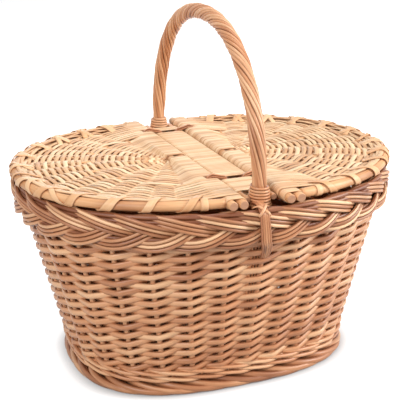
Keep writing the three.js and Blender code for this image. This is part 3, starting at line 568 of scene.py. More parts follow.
# a strand swings across the rim as sin(p) and passes to the front and the back as -sin(2p), so it lies on top
# on its way down the upper half and on its way up the lower half; its rods keep their offset square to it
def plaitPath(phase, offset):
    share = (phase - np.radians(plait["shift"])) / turn * plait["rounds"] / plait["swings"]
    point, along, up, out = wallFrame(share, wall["height"])
    advance = plait["girth"] * plait["rounds"] / plait["swings"] / turn
    rise = plait["swing"] * np.cos(phase)
    slant = np.hypot(advance, rise)
    climb = plait["centre"] + plait["swing"] * np.sin(phase) + offset * advance / slant
    aside = -offset * rise / slant
    depth = plait["outset"] - plait["lean"] * climb - plait["swell"] * np.sin(2 * phase)
    return point + up * climb[..., None] + along * aside[..., None] + out * depth[..., None], out


# one closed strand goes five times round; a rod's thickness swings slowly along it
def makePlait():
    count, rods = plait["swings"] * plait["steps"], len(plait["rods"])
    phase = np.broadcast_to(np.linspace(0, turn * plait["swings"], count, endpoint=False), (rods, count))
    offset = plait["spacing"] * np.array(plait["rods"])[:, None]
    tint = np.repeat(dice.uniform(*plait["tint"], (rods, plait["swings"])), plait["steps"], 1)
    path, out = plaitPath(phase, offset)
    swell = np.sin(phase / plait["unevenRun"] + np.arange(rods)[:, None] * plait["unevenStep"])
    thick = plait["rod"] * (1 + plait["uneven"] * swell)
    running = sweep(path, out, thick, thick, closed=True, tint=tint, groove=plait["groove"])
    rings = plait["coreRings"]
    share = np.broadcast_to(np.linspace(0, 1, rings, endpoint=False), (len(plait["core"]), rings))
    point, _, up, out = wallFrame(share, wall["height"])
    climb = np.array(plait["core"])[:, None, None]
    path = point + up * climb + out * (plait["outset"] - plait["lean"] * climb)
    # the core rods take the darkest tint: painted shade in the gaps between the strands
    core = sweep(path, out, plait["coreRod"], plait["coreRod"], closed=True, tint=plait["coreShadeTint"])
    makePiece("rimPlait", [running, core], "rimWillow", "basket", ["rim_plait"], "rim_willow")


# bow handle: groups of rods laid round a heart along an arch
handle = {"halfSpan": 147.5, "rise": 161, "square": 2.2, "spring": 6, "collar": 3.1, "sink": 3, "rings": 220,
          "archSteps": 800, "footSteps": 12, "neckAt": (0, 24, 40, 60), "neck": (7.4, 7.2, 8.2, 8.5),
          "groups": 4, "inGroup": 3, "beside": 0.485, "proud": 0.35, "bed": 0.2, "turns": 4.1, "even": 0.5,
          "rod": 3.6, "flat": 0.95, "heart": 1.25, "heartTint": 0.1, "tint": (0.2, 0.85), "groove": 0.7}
handleSpring = plaitTop + handle["spring"]
collarBase = plaitTop + handle["collar"]


# the arch: straight feet, then a half oval through (0, -span cos^p, spring + rise sin^p), in even steps
def bowPath():
    power = 2 / handle["square"]
    angle = np.linspace(0, np.pi, handle["archSteps"])
    side = signedPower(np.cos(angle), power)
    lift = np.abs(np.sin(angle)) ** power
    arch = np.stack([0 * angle, -handle["halfSpan"] * side, handleSpring + handle["rise"] * lift], -1)
    rise = np.linspace(collarBase - handle["sink"], handleSpring, handle["footSteps"])[:-1]
    foot = np.stack([0 * rise, 0 * rise - handle["halfSpan"], rise], -1)
    whole = np.concatenate([foot, arch, (foot * toBack)[::-1]])
    run = runAlong(whole)
    even = np.linspace(0, run[-1], handle["rings"])
    return pathAt(even, run, whole), even


# a rod lies at the rope's radius from the arch, at an angle that turns along it and more slowly at the feet
def makeHandle():
    centre, run = bowPath()
    lift = np.cross(unit(np.gradient(centre, axis=0)), sideways)
    near = np.minimum(run, run[-1] - run)
    ropeRadius = np.interp(near, handle["neckAt"], handle["neck"])
    share = run / run[-1]
    lay = -turn * handle["turns"] * (share - handle["even"] / turn * np.sin(turn * share))
    group, inGroup = np.divmod(np.arange(handle["groups"] * handle["inGroup"]), handle["inGroup"])
    start = turn * group / handle["groups"] + (inGroup - 1) * handle["beside"]
    angle = start[:, None] + lay[None]
    radial = sideways * np.cos(angle)[..., None] + lift * np.sin(angle)[..., None]
    proud = (inGroup == 1)[:, None] * handle["proud"] - handle["bed"]
    path = centre + radial * (ropeRadius - handle["rod"] / 2 + proud)[..., None]
    rods = sweep(path, radial, handle["rod"], handle["rod"] * handle["flat"],
                 tint=dice.uniform(*handle["tint"], len(group)), groove=handle["groove"])
    thick = handle["heart"] * ropeRadius
    heart = sweep(centre[None], lift[None], thick, thick, tint=handle["heartTint"])
    makePiece("handleRope", [rods, heart], "handleWillow", "basket", ["handle_rope"], "handle_willow")


# legs: the heart runs on from the collar down the inside of the wall
legs = {"radius": 3.6, "inside": 12.2, "stops": (112, 150, 176), "top": 6, "rings": 30, "tint": (0.4, 0.55)}


# smooth curve through places inside the wall and then straight up to the collar
def makeLegs():
    point, _, _, out = wallFrame(np.zeros(len(legs["stops"])), legs["stops"])
    upper = [[0, -handle["halfSpan"], z] for z in (wall["height"], collarBase + legs["top"])]
    path = curveThrough(np.concatenate([point - out * legs["inside"], upper]), legs["rings"])
    both = np.stack([path, path * toBack])
    thick = 2 * legs["radius"]
    rods = sweep(both, sideways, thick, thick, sides=10, tint=legs["tint"])
    makePiece("handleLegs", [rods], "stickWillow", "basket", ["handle_core"], "stick_willow")


# collar: one rod wound round the handle's foot, wider towards the bottom
collar = {"loops": 7, "rod": 2.9, "pitch": 2.85, "top": 8.3, "bottom": 11.0, "base": -8.0, "lay": 0.35,
          "flareAt": (0, 0.6, 2.2), "flare": (0.8, 0, -0.6), "steps": 30, "start": 2.2, "tints": 8,
          "tint": 0.55, "tintSwing": 0.2, "groove": 0.8}


# a helix whose radius shrinks as it climbs, after a first part of a turn that lies level
def makeCollar(end, side):
    loops = collar["loops"]
    t = np.linspace(0, loops, loops * collar["steps"] + 1)
    angle = -np.pi / 2 + collar["start"] - turn * t
    flared = [collar["bottom"] + more for more in collar["flare"]]
    radius = np.interp(t, [*collar["flareAt"], loops], [*flared, collar["top"]])
    climb = np.maximum(t - collar["lay"], 0) * loops / (loops - collar["lay"])
    z = collarBase + collar["base"] + collar["rod"] / 2 + collar["pitch"] * climb
    radial = np.stack([np.cos(angle), np.sin(angle), 0 * angle], -1)
    path = np.stack([0 * z, 0 * z - handle["halfSpan"], z], -1) + radial * radius[:, None]
    tint = collar["tint"] + collar["tintSwing"] * throughStops(dice.uniform(-1, 1, collar["tints"]), t)
    flip = [side, side, 1]
    wound = sweep((path * flip)[None], (radial * flip)[None], collar["rod"], collar["rod"], tint=tint[None],
                  groove=collar["groove"])
    makePiece("handleCollar" + end, [wound], "handleWillow", "basket",
              ["handle_binding_" + end.lower()], "handle_willow")


# tail: thin rods side by side from under the collar, over the plait and down to the wall, a skein tie that
# crosses on it, and loose rods pushed down between the wall's weavers beside it.
# over holds distance out and height above the plait, down climb from the rim and distance from the plait's
# face, and into climb from the rim and distance from the wall; away points from the basket
tail = {"rods": 5, "rod": 2.5, "flat": 0.95, "rings": 54, "bow": 0.5, "clear": 1.1, "tint": (0.1, 0.55),
        "groove": 0.8, "taperAt": (0, 0.8, 1), "taper": (1, 1, 0.75), "away": (0, -1, 0.4),
        "spread": (1.75, 1.85, 2.25, 2.35, 2.1, 1.7), "aside": (-6.5, -6.5, -6, -4, -1, 1.5, 2.5),
        "over": ((4, 0.6), (4.5, 1.9)), "down": ((20.5, -6.2), (9, -1.6), (-6, 1.4), (-13, 0.6)),
        "into": ((-20, 12.6), (-28, 9.2), (-34, 6.6))}
tie = {"wide": 2.6, "deep": 0.9, "square": 4, "rows": (6.5, 14.5), "rings": 14, "aside": (8.6, -6.6),
       "height": 2.0, "crossing": 0.5, "wrapFrom": 4.2, "wrapRun": 3.0, "wrapDrop": 3.4, "tint": 0.7}
looseRods = {"count": 6, "rod": 2.1, "pitch": 3.6, "shift": 0.4, "run": (96, 182), "rings": 8,
             "tint": (0.1, 0.5)}


# the rods keep their spread either side of one smooth curve; the tie's two strips cross its rows slantwise
def makeTail(end, side):
    point, _, up, out = (v[0] for v in wallFrame(np.zeros(1), wall["height"]))
    face = plait["outset"] + plait["swell"] + plait["rod"] / 2 + tail["clear"]
    starts = (-handle["halfSpan"], point[1])
    route = [[0, start - away, plaitTop + high] for start, (away, high) in zip(starts, tail["over"])]
    route += [point + up * climb + out * (face + reach) for climb, reach in tail["down"]]
    route += [point + up * climb + out * reach for climb, reach in tail["into"]]
    rings = tail["rings"]
    path = curveThrough(route, rings)
    share = np.linspace(0, 1, rings)
    alongTail = lambda key: np.interp(share, np.linspace(0, 1, len(tail[key])), tail[key])
    path[:, 0] = alongTail("aside")
    normal = unit(np.cross(sideways, unit(np.gradient(path, axis=0))))
    normal = normal * np.sign((normal * tail["away"]).sum(-1))[:, None]
    k = np.arange(tail["rods"]) - (tail["rods"] - 1) / 2
    bow = tail["bow"] * (1 - (k / k[-1]) ** 2)
    rods = path + sideways * (k[:, None] * alongTail("spread"))[..., None] + normal * bow[:, None, None]
    flip = np.array([side, side, 1])
    thick = tail["rod"] * np.interp(share, tail["taperAt"], tail["taper"])
    tint = dice.uniform(*tail["tint"], tail["rods"])
    surfaces = [sweep(rods * flip, normal * flip, thick, thick * tail["flat"], tint=tint,
                      groove=tail["groove"])]
    t = np.linspace(0, 1, tie["rings"])
    row = blendOf(*tie["rows"], t)
    at = pathAt(row, np.arange(rings), path)
    facing = pathAt(row, np.arange(rings), normal)
    for lean, lift in ((1, tie["crossing"]), (-1, 0)):
        aside = lean * blendOf(*tie["aside"], t)
        wrap = np.maximum(np.abs(aside) - tie["wrapFrom"], 0) / tie["wrapRun"]
        height = tie["height"] + lift - tie["wrapDrop"] * wrap
        strip = at + sideways * aside[:, None] + facing * height[:, None]
        surfaces.append(sweep((strip * flip)[None], (facing * flip)[None], tie["wide"], tie["deep"],
                              square=tie["square"], tint=tie["tint"]))
    count = looseRods["count"]
    beside = (np.arange(count) - count + looseRods["shift"]) * looseRods["pitch"] / plait["girth"]
    beside = beside + (0 if side > 0 else 0.5)  # the back is half way round
    beside, z = np.meshgrid(beside, np.linspace(*looseRods["run"], looseRods["rings"]), indexing="ij")
    point, _, _, out = wallFrame(beside, z)
    surfaces.append(sweep(point, out, looseRods["rod"], looseRods["rod"], sides=7,
                          tint=dice.uniform(*looseRods["tint"], count)))
    makePiece("handleTail" + end, surfaces, "handleWillow", "basket",
              ["handle_tail_" + end.lower()], "handle_willow")


# hinge bar: two sticks wound across with flat skein, which leaves room for the hinge loops
hingeBar = {"stick": 3.3, "reach": 152, "stickTint": (0.3, 0.6), "skein": 4.1, "thick": 1.0, "square": 5,
            "pitch": 4.35, "arcSteps": 9, "places": (-88, 112), "clear": 2.4, "tint": (0.3, 0.9),
            "groove": 0.3}


# thread round two circles, an arc about each joined by straight runs: its x and z and its outward direction
def racetrack(leftX, leftZ, leftR, rightX, rightZ, rightR, steps):
    right = np.linspace(-np.pi / 2, np.pi / 2, steps)
    left = right + np.pi
    x = np.concatenate([rightX + rightR * np.cos(right), leftX + leftR * np.cos(left)])
    z = np.concatenate([rightZ + rightR * np.sin(right), leftZ + leftR * np.sin(left)])
    angle = np.concatenate([right, left])
    return x, z, np.cos(angle), np.sin(angle)


# between two loops the skein is a racetrack that moves evenly along the bar
def makeHingeBar():
    ends = np.array([[barX, hingeBar["reach"], barZ], [-barX, hingeBar["reach"], barZ]])
    bars = sticks(ends * toBack, ends, hingeBar["stick"], tint=dice.uniform(*hingeBar["stickTint"], 2))
    makePiece("hingeBarSticks", [bars], "stickWillow", "basket",
              ["hinge_bar_stick_right", "hinge_bar_stick_left"], "stick_willow")
    low, high = nodeBox("hinge_bar_skein")
    edges = [low[1], *[y + s * hingeBar["clear"] for y in hingeBar["places"] for s in (-1, 1)], high[1]]
    surfaces = []
    skein = hingeBar["skein"]
    reach = hingeBar["stick"] + snug + hingeBar["thick"] / 2
    oneTurn = racetrack(-barX, barZ, reach, barX, barZ, reach, hingeBar["arcSteps"])
    count = len(oneTurn[0])
    for start, stop in zip(edges[::2], edges[1::2]):
        loops = max(1, int((stop - start - skein) / hingeBar["pitch"]))
        x, z, outX, outZ = (np.tile(v, loops) for v in oneTurn)
        y = np.linspace(start + skein / 2, stop - skein / 2, loops * count)
        tint = np.repeat(dice.uniform(*hingeBar["tint"], loops), count)
        path, out = np.stack([x, y, z], -1), np.stack([outX, 0 * y, outZ], -1)
        surfaces.append(sweep(path[None], out[None], skein, hingeBar["thick"], square=hingeBar["square"],
                              tint=tint[None], groove=hingeBar["groove"]))
    makePiece("hingeBarSkein", surfaces, "skeinWillow", "basket", ["hinge_bar_skein"], "skein_willow")


# hinge loop: three flat skeins side by side in an eye over the bar's winding and round the lid's inner stick
hingeLoop = {"strands": 3, "wide": 3.1, "thick": 1.6, "square": 2.6, "pitch": 2.7, "gap": 0.4, "rise": 1.6,
             "arcSteps": 14, "tint": (0.15, 0.3, 0.05), "groove": 0.6}


# a closed racetrack for each skein; the middle one stands a little proud of the other two on top
def makeHingeLoops():
    half = hingeLoop["gap"] + hingeLoop["thick"] / 2
    barReach = hingeBar["stick"] + snug + hingeBar["thick"] + half
    stickReach = lid["stick"] + snug + lidWeave["thick"] + half
    x, z, outX, outZ = racetrack(barX, barZ, barReach, innerX, stickZ, stickReach, hingeLoop["arcSteps"])
    strand = np.arange(hingeLoop["strands"])[:, None] - (hingeLoop["strands"] - 1) / 2
    proud = hingeLoop["rise"] * (0.5 - np.abs(strand)) * np.maximum(outZ, 0)
    for name, y in zip(("front", "back"), hingeBar["places"]):
        across = y + strand * hingeLoop["pitch"] + 0 * x
        ring = np.stack([x + 0 * across, across, z + proud], -1)
        out = np.stack([outX, 0 * outX, outZ], -1)
        loop = sweep(ring, out, hingeLoop["wide"], hingeLoop["thick"], closed=True,
                     square=hingeLoop["square"], tint=hingeLoop["tint"], groove=hingeLoop["groove"])
        for side, surface in (("right", loop), ("left", mirrorX(loop))):
            makePiece("hingeLoop_%s_%s" % (side, name), [surface], "handleWillow", "basket",
                      ["hinge_loop_%s_%s" % (side, name)], "skein_willow")


# lids: hoop and two sticks, with ribs and rows of skein about a hub in the middle of the straight edge
lid = {"half": (215, 164), "square": 2.15, "hoop": 5.0, "stick": lidStick, "reach": 169, "hubGap": 0.35,
       "dome": 3.0, "halvings": 34, "stickTint": (0.4, 0.6)}
hubX = outerX + lid["stick"] + lid["hubGap"]


# distance from the hub to the inside of the hoop in a direction: halving steps until the oval is met
def lidReach(angle, inset):
    low, high = np.zeros_like(angle), np.full_like(angle, 2.0 * lid["half"][0])
    for _ in range(lid["halvings"]):
        middle = (low + high) / 2
        x = np.abs((hubX + middle * np.cos(angle)) / (lid["half"][0] - inset))
        y = np.abs(middle * np.sin(angle) / (lid["half"][1] - inset))
        inside = x ** lid["square"] + y ** lid["square"] < 1
        low, high = np.where(inside, middle, low), np.where(inside, high, middle)
    return low


# the lid's crown half way between the hub and the hoop: a parabola of the share of that way
def domeAt(share):
    return lid["dome"] * (1 - (2 * share - 1) ** 2)


# ribs: every second one starts at the hub and the others further out; rows nearer than fullFrom pass only
# the long ones
lidRib = {"count": 15, "radius": 1.7, "longFrom": 4.0, "shortFrom": 86.0, "fullFrom": 92, "rings": 14,
          "dip": 1.2, "dipFrom": 0.93, "tint": (0.2, 0.6)}

# rows of skein: cover is how far inside the lid's edge the last one lies where it is drawn up over the hoop,
# and the tips are where a row's end stops beneath and above the outer stick, from that stick's middle
lidWeave = {"rows": 44, "skein": 1.45, "thick": 1.4, "square": 4, "wave": 2.1, "firstRow": 5.0, "steps": 7,
            "edgeGap": 1.5, "hoopGap": 0.6, "cover": 4.6, "coverFrom": 0.3, "coverRun": 17.0,
            "coverRise": 5.6, "coverFlat": 0.75, "soften": 0.28, "samples": 7, "uneven": 0.25, "wander": 0.3,
            "wanderRun": 1.9, "wanderRow": 2.1, "hingeRoom": 5.5, "bendSteps": 11,
            "longTips": (1, -2), "shortUnder": (3, 1), "shortOver": (1, 2), "tint": (0.2, 0.95),
            "tintSwing": 0.18, "tintRun": 9, "wideSwing": 0.05, "wideRun": 14, "wideRow": 1.7, "groove": 0.75}


# the end of a row: over both sticks, round the inner one and back underneath; a row that meets a hinge
# loop turns round the outer stick only. The outward directions come with it
def rowEnds(y, hinge, reach):
    bend = np.linspace(1.5 * np.pi, 0.5 * np.pi, lidWeave["bendSteps"])
    middleX = blendOf(innerX, outerX, 0.5)
    bent = reach * np.cos(bend)
    under, over = outerX + np.array(lidWeave["longTips"])
    wrapX = np.concatenate([[under, middleX], innerX + bent, [middleX, over]])
    shortX = outerX + np.concatenate([lidWeave["shortUnder"], bent, lidWeave["shortOver"]])
    z = stickZ + np.concatenate([[-reach] * 2, reach * np.sin(bend), [reach] * 2])
    turned = np.stack([np.cos(bend), 0 * bend, np.sin(bend)], -1)
    out = np.concatenate([[-upward] * 2, turned, [upward] * 2])
    short = np.abs(y - hinge) < lidWeave["hingeRoom"]
    x = np.where(short[:, None], shortX, wrapX)
    path = np.stack([x, np.broadcast_to(y[:, None], x.shape), np.broadcast_to(z, x.shape)], -1)
    return path, np.broadcast_to(out, path.shape)


# a row runs half round the hub, rises and sinks over the ribs, and wraps both sticks at each end
def lidRows():
    rows, stops = lidWeave["rows"], lidRib["count"] + 1
    place = np.linspace(0, stops, stops * lidWeave["steps"] + 1)
    angle = np.pi * (place / stops - 0.5)
    # the rows stay inside the hoop beside the sticks, and elsewhere lie on its upper side
    over = np.clip(np.cos(angle) / lidWeave["coverFrom"], 0, 1)
    inset = blendOf(2 * lid["hoop"] + lidWeave["hoopGap"], lidWeave["cover"], over)
    far = lidReach(angle, inset) - lidWeave["edgeGap"]
    row = np.arange(rows)[:, None]
    share = (row + 0.5) / rows
    radius = blendOf(lidWeave["firstRow"], far[None], share)
    rise = eased(over * np.clip(1 - (far[None] - radius) / lidWeave["coverRun"], 0, 1))
    # over and under at each rib: the long ribs in turn near the hub, all ribs in turn further out
    rib = np.arange(stops + 1)[None]
    near = radius[:, ::lidWeave["steps"]] < lidRib["fullFrom"]
    inTurn = lambda number: np.where((number + row) % 2 == 0, 1.0, -1.0)
    lift = np.where(near, np.where(rib % 2 == 0, inTurn(rib // 2), 0.0), inTurn(rib)) * lidWeave["wave"]
    reach = lid["stick"] + snug + lidWeave["thick"] / 2
    lift[:, [0, -1]] = stickZ + reach - hoopZ
    spots = place[:, None] + np.linspace(-lidWeave["soften"], lidWeave["soften"], lidWeave["samples"])
    spots = np.clip(spots, 0, stops)
    whole = np.minimum(spots.astype(int), stops - 1)
    part = eased(spots - whole)
    wave = (lift[:, whole] * (1 - part) + lift[:, whole + 1] * part).mean(-1)
    wander = lidWeave["wander"] * np.sin(place * lidWeave["wanderRun"] + row * lidWeave["wanderRow"])
    radius = radius + dice.normal(0, lidWeave["uneven"], (rows, 1)) + wander
    y = radius * np.sin(angle)
    z = hoopZ + wave * (1 - lidWeave["coverFlat"] * rise) + domeAt(share) * np.cos(angle) ** 2
    panel = np.stack([hubX + radius * np.cos(angle), y, z + lidWeave["coverRise"] * rise], -1)
    front, frontOut = rowEnds(y[:, 0], hingeBar["places"][0], reach)
    back, backOut = rowEnds(y[:, -1], hingeBar["places"][1], reach)
    path = np.concatenate([front, panel, back[:, ::-1]], 1)
    out = np.concatenate([frontOut, np.broadcast_to(upward, panel.shape), backOut[:, ::-1]], 1)
    wavesTo = lambda run: np.linspace(0, run, path.shape[1])
    tint = dice.uniform(*lidWeave["tint"], (rows, 1))
    tint = tint + lidWeave["tintSwing"] * np.sin(wavesTo(lidWeave["tintRun"]) + row)
    pitch = np.pad((far - lidWeave["firstRow"]) / rows, front.shape[1], mode="edge")
    swing = lidWeave["wideSwing"] * np.sin(wavesTo(lidWeave["wideRun"]) + lidWeave["wideRow"] * row)
    wide = lidWeave["skein"] * pitch * (1 + swing)
    return sweep(path, out, wide, lidWeave["thick"], square=lidWeave["square"], tint=tint,
                 groove=lidWeave["groove"])


# straight rods from the hub's side to the hoop, on the dome, with their tips bent down a little
def lidRibs():
    number = np.arange(lidRib["count"])
    angle = np.pi * ((number + 1) / (len(number) + 1) - 0.5)[:, None]
    far = lidReach(angle, lid["hoop"])
    start = np.where(number % 2 == 1, lidRib["longFrom"], lidRib["shortFrom"])[:, None]
    radius = blendOf(start, far, np.linspace(0, 1, lidRib["rings"]))
    share = radius / far
    dip = np.maximum(share - lidRib["dipFrom"], 0) / (1 - lidRib["dipFrom"])
    z = hoopZ + domeAt(share) * np.cos(angle) ** 2 - lidRib["dip"] * dip
    path = np.stack([hubX + radius * np.cos(angle), radius * np.sin(angle), z], -1)
    thick = 2 * lidRib["radius"]
    return sweep(path, upward, thick, thick, sides=9, tint=dice.uniform(*lidRib["tint"], len(number)))


# the bent hoop, and a thinner one below and inside it
hoop = {"startX": 41.5, "rings": 120, "uneven": 0.04, "unevenRun": 17, "tint": 0.35, "tintSwing": 0.2,
        "tintRun": 23, "under": 2.6, "underX": 36.0, "underRings": 100, "underIn": 11.4, "underDrop": 2.6}


# a hoop lies on an oval: x = r cos(a), y = r sin(a), with r the oval's radius
def hoopPath(inset, z, count, startX):
    half = (lid["half"][0] - inset, lid["half"][1] - inset)
    startY = ovalChord(startX, half[1], half[0], lid["square"])
    angle = np.linspace(-1, 1, count) * np.arctan2(startY, startX)
    radius = ovalRadius(angle, half, lid["square"])
    return np.stack([radius * np.cos(angle), radius * np.sin(angle), np.full(count, z)], -1)


# thickness and tint of the hoop swing slowly along it
def lidHoop():
    path = hoopPath(lid["hoop"], hoopZ, hoop["rings"], hoop["startX"])
    wavesTo = lambda run: np.sin(np.linspace(0, run, hoop["rings"]))
    thick = 2 * lid["hoop"] * (1 + hoop["uneven"] * wavesTo(hoop["unevenRun"]))
    tint = hoop["tint"] + hoop["tintSwing"] * wavesTo(hoop["tintRun"])
    bent = sweep(path[None], upward, thick, thick, sides=14, tint=tint[None])
    path = hoopPath(hoop["underIn"], hoopZ - hoop["underDrop"], hoop["underRings"], hoop["underX"])
    below = sweep(path[None], upward, 2 * hoop["under"], 2 * hoop["under"], sides=10, tint=hoop["tint"])
    return [bent, below]


# lashings: strips of skein that slant over the weave's edge, round the hoop and back under it. Narrower ones
# cross between them at the lid's end and back, and a straight turn ties each end of the hoop.
# inward, height and tilt are the strip's places and lean on the weave, bend its angles round the hoop
lashing = {"count": 12, "margin": (0.9, 0.8), "crossed": 8, "crossedFrom": (-28, 70), "crossLean": 1.6,
           "crossWide": 0.66, "wide": 9.4, "thick": 1.0, "square": 5, "gap": 0.15, "samples": 721,
           "inward": (-21, -16, -11, -7), "height": (2.2, 3.8, 5.4, 6.4), "tilt": (-0.05, -0.1, -0.15, -0.2),
           "bend": (110, -150), "bendSteps": 14, "loose": 1.5, "looseFrom": 20, "slide": (-11, 12),
           "lean": (0.7, 1.2), "uneven": (0.8, 1.1), "tint": (0.5, 0.95), "groove": 0.6,
           "ends": (34, 686), "endWide": 0.85, "endSteps": 24, "endTint": (0.5, 0.8)}


# a strip's point is the hoop's, moved outwards and up by its section and along the hoop by its slant
def lidLashings():
    regular, crossed = lashing["count"], lashing["crossed"]
    path = hoopPath(lid["hoop"], hoopZ, lashing["samples"], hoop["startX"])
    tangent = unit(np.gradient(path, axis=0))
    outward = np.cross(tangent, upward)
    before, around = lashing["margin"]
    angle = np.concatenate([np.pi * ((np.arange(regular) + before) / (regular + around) - 0.5),
                            np.radians(np.linspace(*lashing["crossedFrom"], crossed))])
    steep = np.repeat([1.0, -lashing["crossLean"]], (regular, crossed)) * np.where(angle < 0, 1.0, -1.0)
    across = np.repeat([1.0, lashing["crossWide"]], (regular, crossed))[:, None]
    far = lidReach(angle, lid["hoop"])
    tip = np.stack([hubX + far * np.cos(angle), far * np.sin(angle)], -1)
    at = np.argmin(((path[None, :, :2] - tip[:, None]) ** 2).sum(-1), 1)
    reach = lid["hoop"] + lashing["gap"] + lashing["thick"] / 2
    degrees = np.linspace(*lashing["bend"], lashing["bendSteps"])
    bend = np.radians(degrees)
    bow = reach + np.interp(degrees, [lashing["looseFrom"], lashing["bend"][0]], [0, lashing["loose"]])
    radial = np.concatenate([lashing["inward"], bow * np.cos(bend)])[:, None]
    height = np.concatenate([lashing["height"], bow * np.sin(bend)])[:, None]
    outR = np.concatenate([lashing["tilt"], np.cos(bend)])[:, None]
    outZ = np.concatenate([np.ones(len(lashing["tilt"])), np.sin(bend)])[:, None]
    slide = np.linspace(*lashing["slide"], len(radial))
    lean = steep[:, None] * dice.uniform(*lashing["lean"], (len(angle), 1))
    strip = path[at][:, None] + outward[at][:, None] * radial + upward * height
    strip = strip + tangent[at][:, None] * (slide * lean)[..., None]
    out = outward[at][:, None] * outR + upward * outZ
    wide = lashing["wide"] * across * dice.uniform(*lashing["uneven"], (len(angle), 1))
    slanted = sweep(strip, out, wide, lashing["thick"], square=lashing["square"],
                    tint=dice.uniform(*lashing["tint"], len(angle)), groove=lashing["groove"])
    ends = np.array(lashing["ends"])
    ring = np.linspace(0, turn, lashing["endSteps"], endpoint=False)[:, None]
    out = outward[ends][:, None] * np.cos(ring) + upward * np.sin(ring)
    straight = sweep(path[ends][:, None] + out * reach, out, lashing["wide"] * lashing["endWide"],
                     lashing["thick"], closed=True, square=lashing["square"],
                     tint=dice.uniform(*lashing["endTint"], len(ends)), groove=lashing["groove"])
    return [slanted, straight]


# skein wound round both sticks beyond the weave, near their ends
stickWrap = {"turns": 2, "places": (152.5, 161), "wide": 6.4, "arcSteps": 9, "tint": (0.3, 0.5),
             "groove": 0.5}


# a racetrack round the two sticks that moves evenly along them
def stickWraps():
    reach = lid["stick"] + snug + lashing["thick"] / 2
    oneTurn = racetrack(innerX, stickZ, reach, outerX, stickZ, reach, stickWrap["arcSteps"])
    x, z, outX, outZ = (np.tile(v, stickWrap["turns"]) for v in oneTurn)
    path = np.stack([x, np.linspace(*stickWrap["places"], len(x)), z], -1)
    out = np.stack([outX, 0 * outX, outZ], -1)
    return sweep(np.stack([path, path * toBack]), out, stickWrap["wide"], lashing["thick"],
                 square=lashing["square"], tint=stickWrap["tint"], groove=stickWrap["groove"])


# the right lid's pieces, and their mirror images for the left lid
def makeLids():
    ends = np.array([[innerX, lid["reach"], stickZ], [outerX, lid["reach"], stickZ]])
    pair = sticks(ends * toBack, ends, lid["stick"], sides=18, tint=lid["stickTint"])
    parts = {"Weave": ([lidRows(), stickWraps()], "skeinWillow", ["weave"], "skein_willow"),
             "Ribs": ([lidRibs()], "stickWillow", ["ribs"], "stick_willow"),
             "Hoop": (lidHoop() + lidLashings(), "stickWillow", ["hoop"], "stick_willow"),
             "Sticks": ([pair], "stickWillow", ["inner_stick", "outer_stick"], "stick_willow")}
    for side in ("right", "left"):
        for part, (surfaces, finish, nodes, slot) in parts.items():
            shown = surfaces if side == "right" else [mirrorX(s) for s in surfaces]
            makePiece("lid%s_%s" % (part, side), shown, finish, "lid_" + side,
                      ["lid_%s_%s" % (side, n) for n in nodes], slot)


print("tub")
makeStakes()
makeSiding()
makeWale()
makeFoot()
makeBase()
makePlait()
print("handle")
makeHandle()
makeLegs()
for end, side in (("Front", 1), ("Back", -1)):
    makeCollar(end, side)
    makeTail(end, side)
print("hinge bar and lids")
makeHingeBar()
makeHingeLoops()
makeLids()

# stage: pale floor that keeps the shadow, under a white world. lift is the floor's own light as far as near,
# from where it grows to full white at far; under is half of the oval beneath the basket, which has none; the
# fade of that light runs a little past the oval's edge, which paints a soft contact shadow round the foot
stage = {"floor": 6.0, "albedo": 0.4, "rough": 0.9, "lift": 0.76, "near": 0.26, "far": 0.56,
         "under": (0.163, 0.1245), "underSquare": 2.7, "underAndContactShadowEdge": (0.8, 1.18), "ambient": 0.22}


# one where a ray comes from the camera, a reflection or clear matter, which all see the background as white
def seenRays(node, math):
    rays = node("LightPath").outputs
    seen = math("MAXIMUM", rays["Is Camera Ray"], rays["Is Glossy Ray"])
    return math("MAXIMUM", seen, rays["Is Transmission Ray"])


# the floor's own light for those rays grows with distance and fades out inside the oval |x/a|^n + |y/b|^n =
# 1, from a little outside it, which paints a soft contact shadow round the foot
def makeFloor():
    half = stage["floor"] / 2
    mesh = bpy.data.meshes.new("floor")
    corners = [(-half, -half, 0), (half, -half, 0), (half, half, 0), (-half, half, 0)]
    mesh.from_pydata(corners, [], [(0, 1, 2, 3)])
    floor = bpy.data.objects.new("floor", mesh)
    bpy.context.scene.collection.objects.link(floor)
    floor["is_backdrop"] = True
    paper = bpy.data.materials.new("paper")
    paper.use_nodes = True
    mesh.materials.append(paper)
    node, math = nodeMakers(paper.node_tree)
    vector = lambda kind, *inputs: node("VectorMath", dict(enumerate(inputs)), operation=kind).outputs
    place = node("TexCoord").outputs["Object"]
    distance = vector("LENGTH", place)["Value"]
    lift = node("MapRange", {0: distance, 1: stage["near"], 2: stage["far"], 3: stage["lift"],
                             4: 1.0}).outputs[0]
    oval = vector("DIVIDE", place, (*stage["under"], 1))[0]
    axes = node("SeparateXYZ", {0: vector("ABSOLUTE", oval)[0]}).outputs
    square = stage["underSquare"]
    reach = math("ADD", math("POWER", axes[0], square), math("POWER", axes[1], square))
    inner, outer = stage["underAndContactShadowEdge"]
    # beside: none of the floor's own light beneath the basket, and a painted contact shadow in a band just
    # outside the foot
    beside = node("MapRange", {0: reach, 1: inner, 2: outer}).outputs[0]
    strength = math("MULTIPLY", math("MULTIPLY", lift, beside), seenRays(node, math))
    shader = paper.node_tree.nodes["Principled BSDF"]
    shader.inputs["Base Color"].default_value = (*[stage["albedo"]] * 3, 1)
    shader.inputs["Roughness"].default_value = stage["rough"]
    shader.inputs["Emission Color"].default_value = (1, 1, 1, 1)
    paper.node_tree.links.new(strength, shader.inputs["Emission Strength"])


# white for the rays that see the background, and a plain low light for all others
def makeWorld():
    world = bpy.data.worlds.new("studio")
    bpy.context.scene.world = world
    world.use_nodes = True
    node, math = nodeMakers(world.node_tree)
    background = world.node_tree.nodes["Background"]
    background.inputs["Color"].default_value = (1, 1, 1, 1)
    strength = node("MapRange", {0: seenRays(node, math), 3: stage["ambient"], 4: 1.0}).outputs[0]
    world.node_tree.links.new(strength, background.inputs["Strength"])


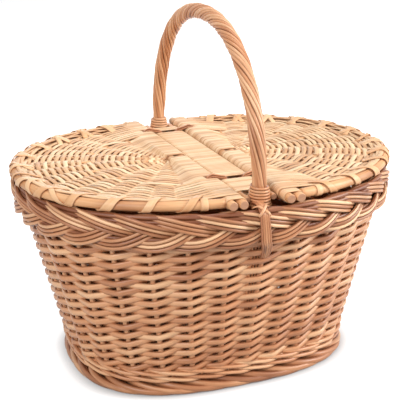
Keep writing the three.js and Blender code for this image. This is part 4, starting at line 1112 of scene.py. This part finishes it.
# soft round lamps, in metres and watts
lamps = {"overhead": {"place": (0.1, 0, 1.8), "aim": (0, 0, 0.15), "size": 1.1, "power": 11.5},
         "behind": {"place": (0.3, 1.7, 0.6), "aim": (0, 0, 0.2), "size": 1.0, "power": 6},
         "frontRight": {"place": (1.75, -0.9, 0.95), "aim": (0, 0, 0.2), "size": 0.9, "power": 46},
         "frontLeft": {"place": (-1.3, -1.25, 1.15), "aim": (0, 0, 0.2), "size": 0.9, "power": 28}}


# a disc at its place, turned to look along the line to its aim
def makeLamp(name, place, aim, size, power):
    lamp = bpy.data.lights.new(name, "AREA")
    lamp.shape = "DISK"
    lamp.size, lamp.energy = size, power
    spot = bpy.data.objects.new(name, lamp)
    bpy.context.scene.collection.objects.link(spot)
    spot.location = place
    spot.rotation_euler = (Vector(aim) - Vector(place)).to_track_quat("-Z", "Y").to_euler()


# the photograph's view: focal length in the picture's pixels, aim and distance in mm, angles in degrees
view = {"focal": 996.544, "picture": 400, "sensor": 36, "aim": (-3.965, 0, 175.857), "distance": 1137.165,
        "azimuth": -22.006, "elevation": 18.868, "clip": (0.05, 50)}


# camera at the aim plus the distance along the line back from it, looking down that line
def makeCamera():
    camera = bpy.data.cameras.new("camera")
    camera.sensor_width = view["sensor"]
    camera.lens = view["focal"] / view["picture"] * view["sensor"]
    camera.clip_start, camera.clip_end = view["clip"]
    spot = bpy.data.objects.new("camera", camera)
    bpy.context.scene.collection.objects.link(spot)
    azimuth, elevation = np.radians(view["azimuth"]), np.radians(view["elevation"])
    level = np.cos(elevation)
    back = Vector((np.sin(azimuth) * level, -np.cos(azimuth) * level, np.sin(elevation)))
    spot.location = Vector(view["aim"]) * mm + back * (view["distance"] * mm)
    spot.rotation_euler = (-back).to_track_quat("-Z", "Y").to_euler()
    bpy.context.scene.camera = spot


makeFloor()
makeWorld()
for name, settings in lamps.items():
    makeLamp(name, **settings)
makeCamera()
bpy.context.scene.view_settings.view_transform = "Standard"
print("stage: floor, world, %d lamps and a camera" % len(lamps))

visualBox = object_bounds()
for name, box in (("cad", cadBox), ("visual", visualBox)):
    print("size, %s: %s" % (name, [round(v, 4) for corner in box for v in corner]))
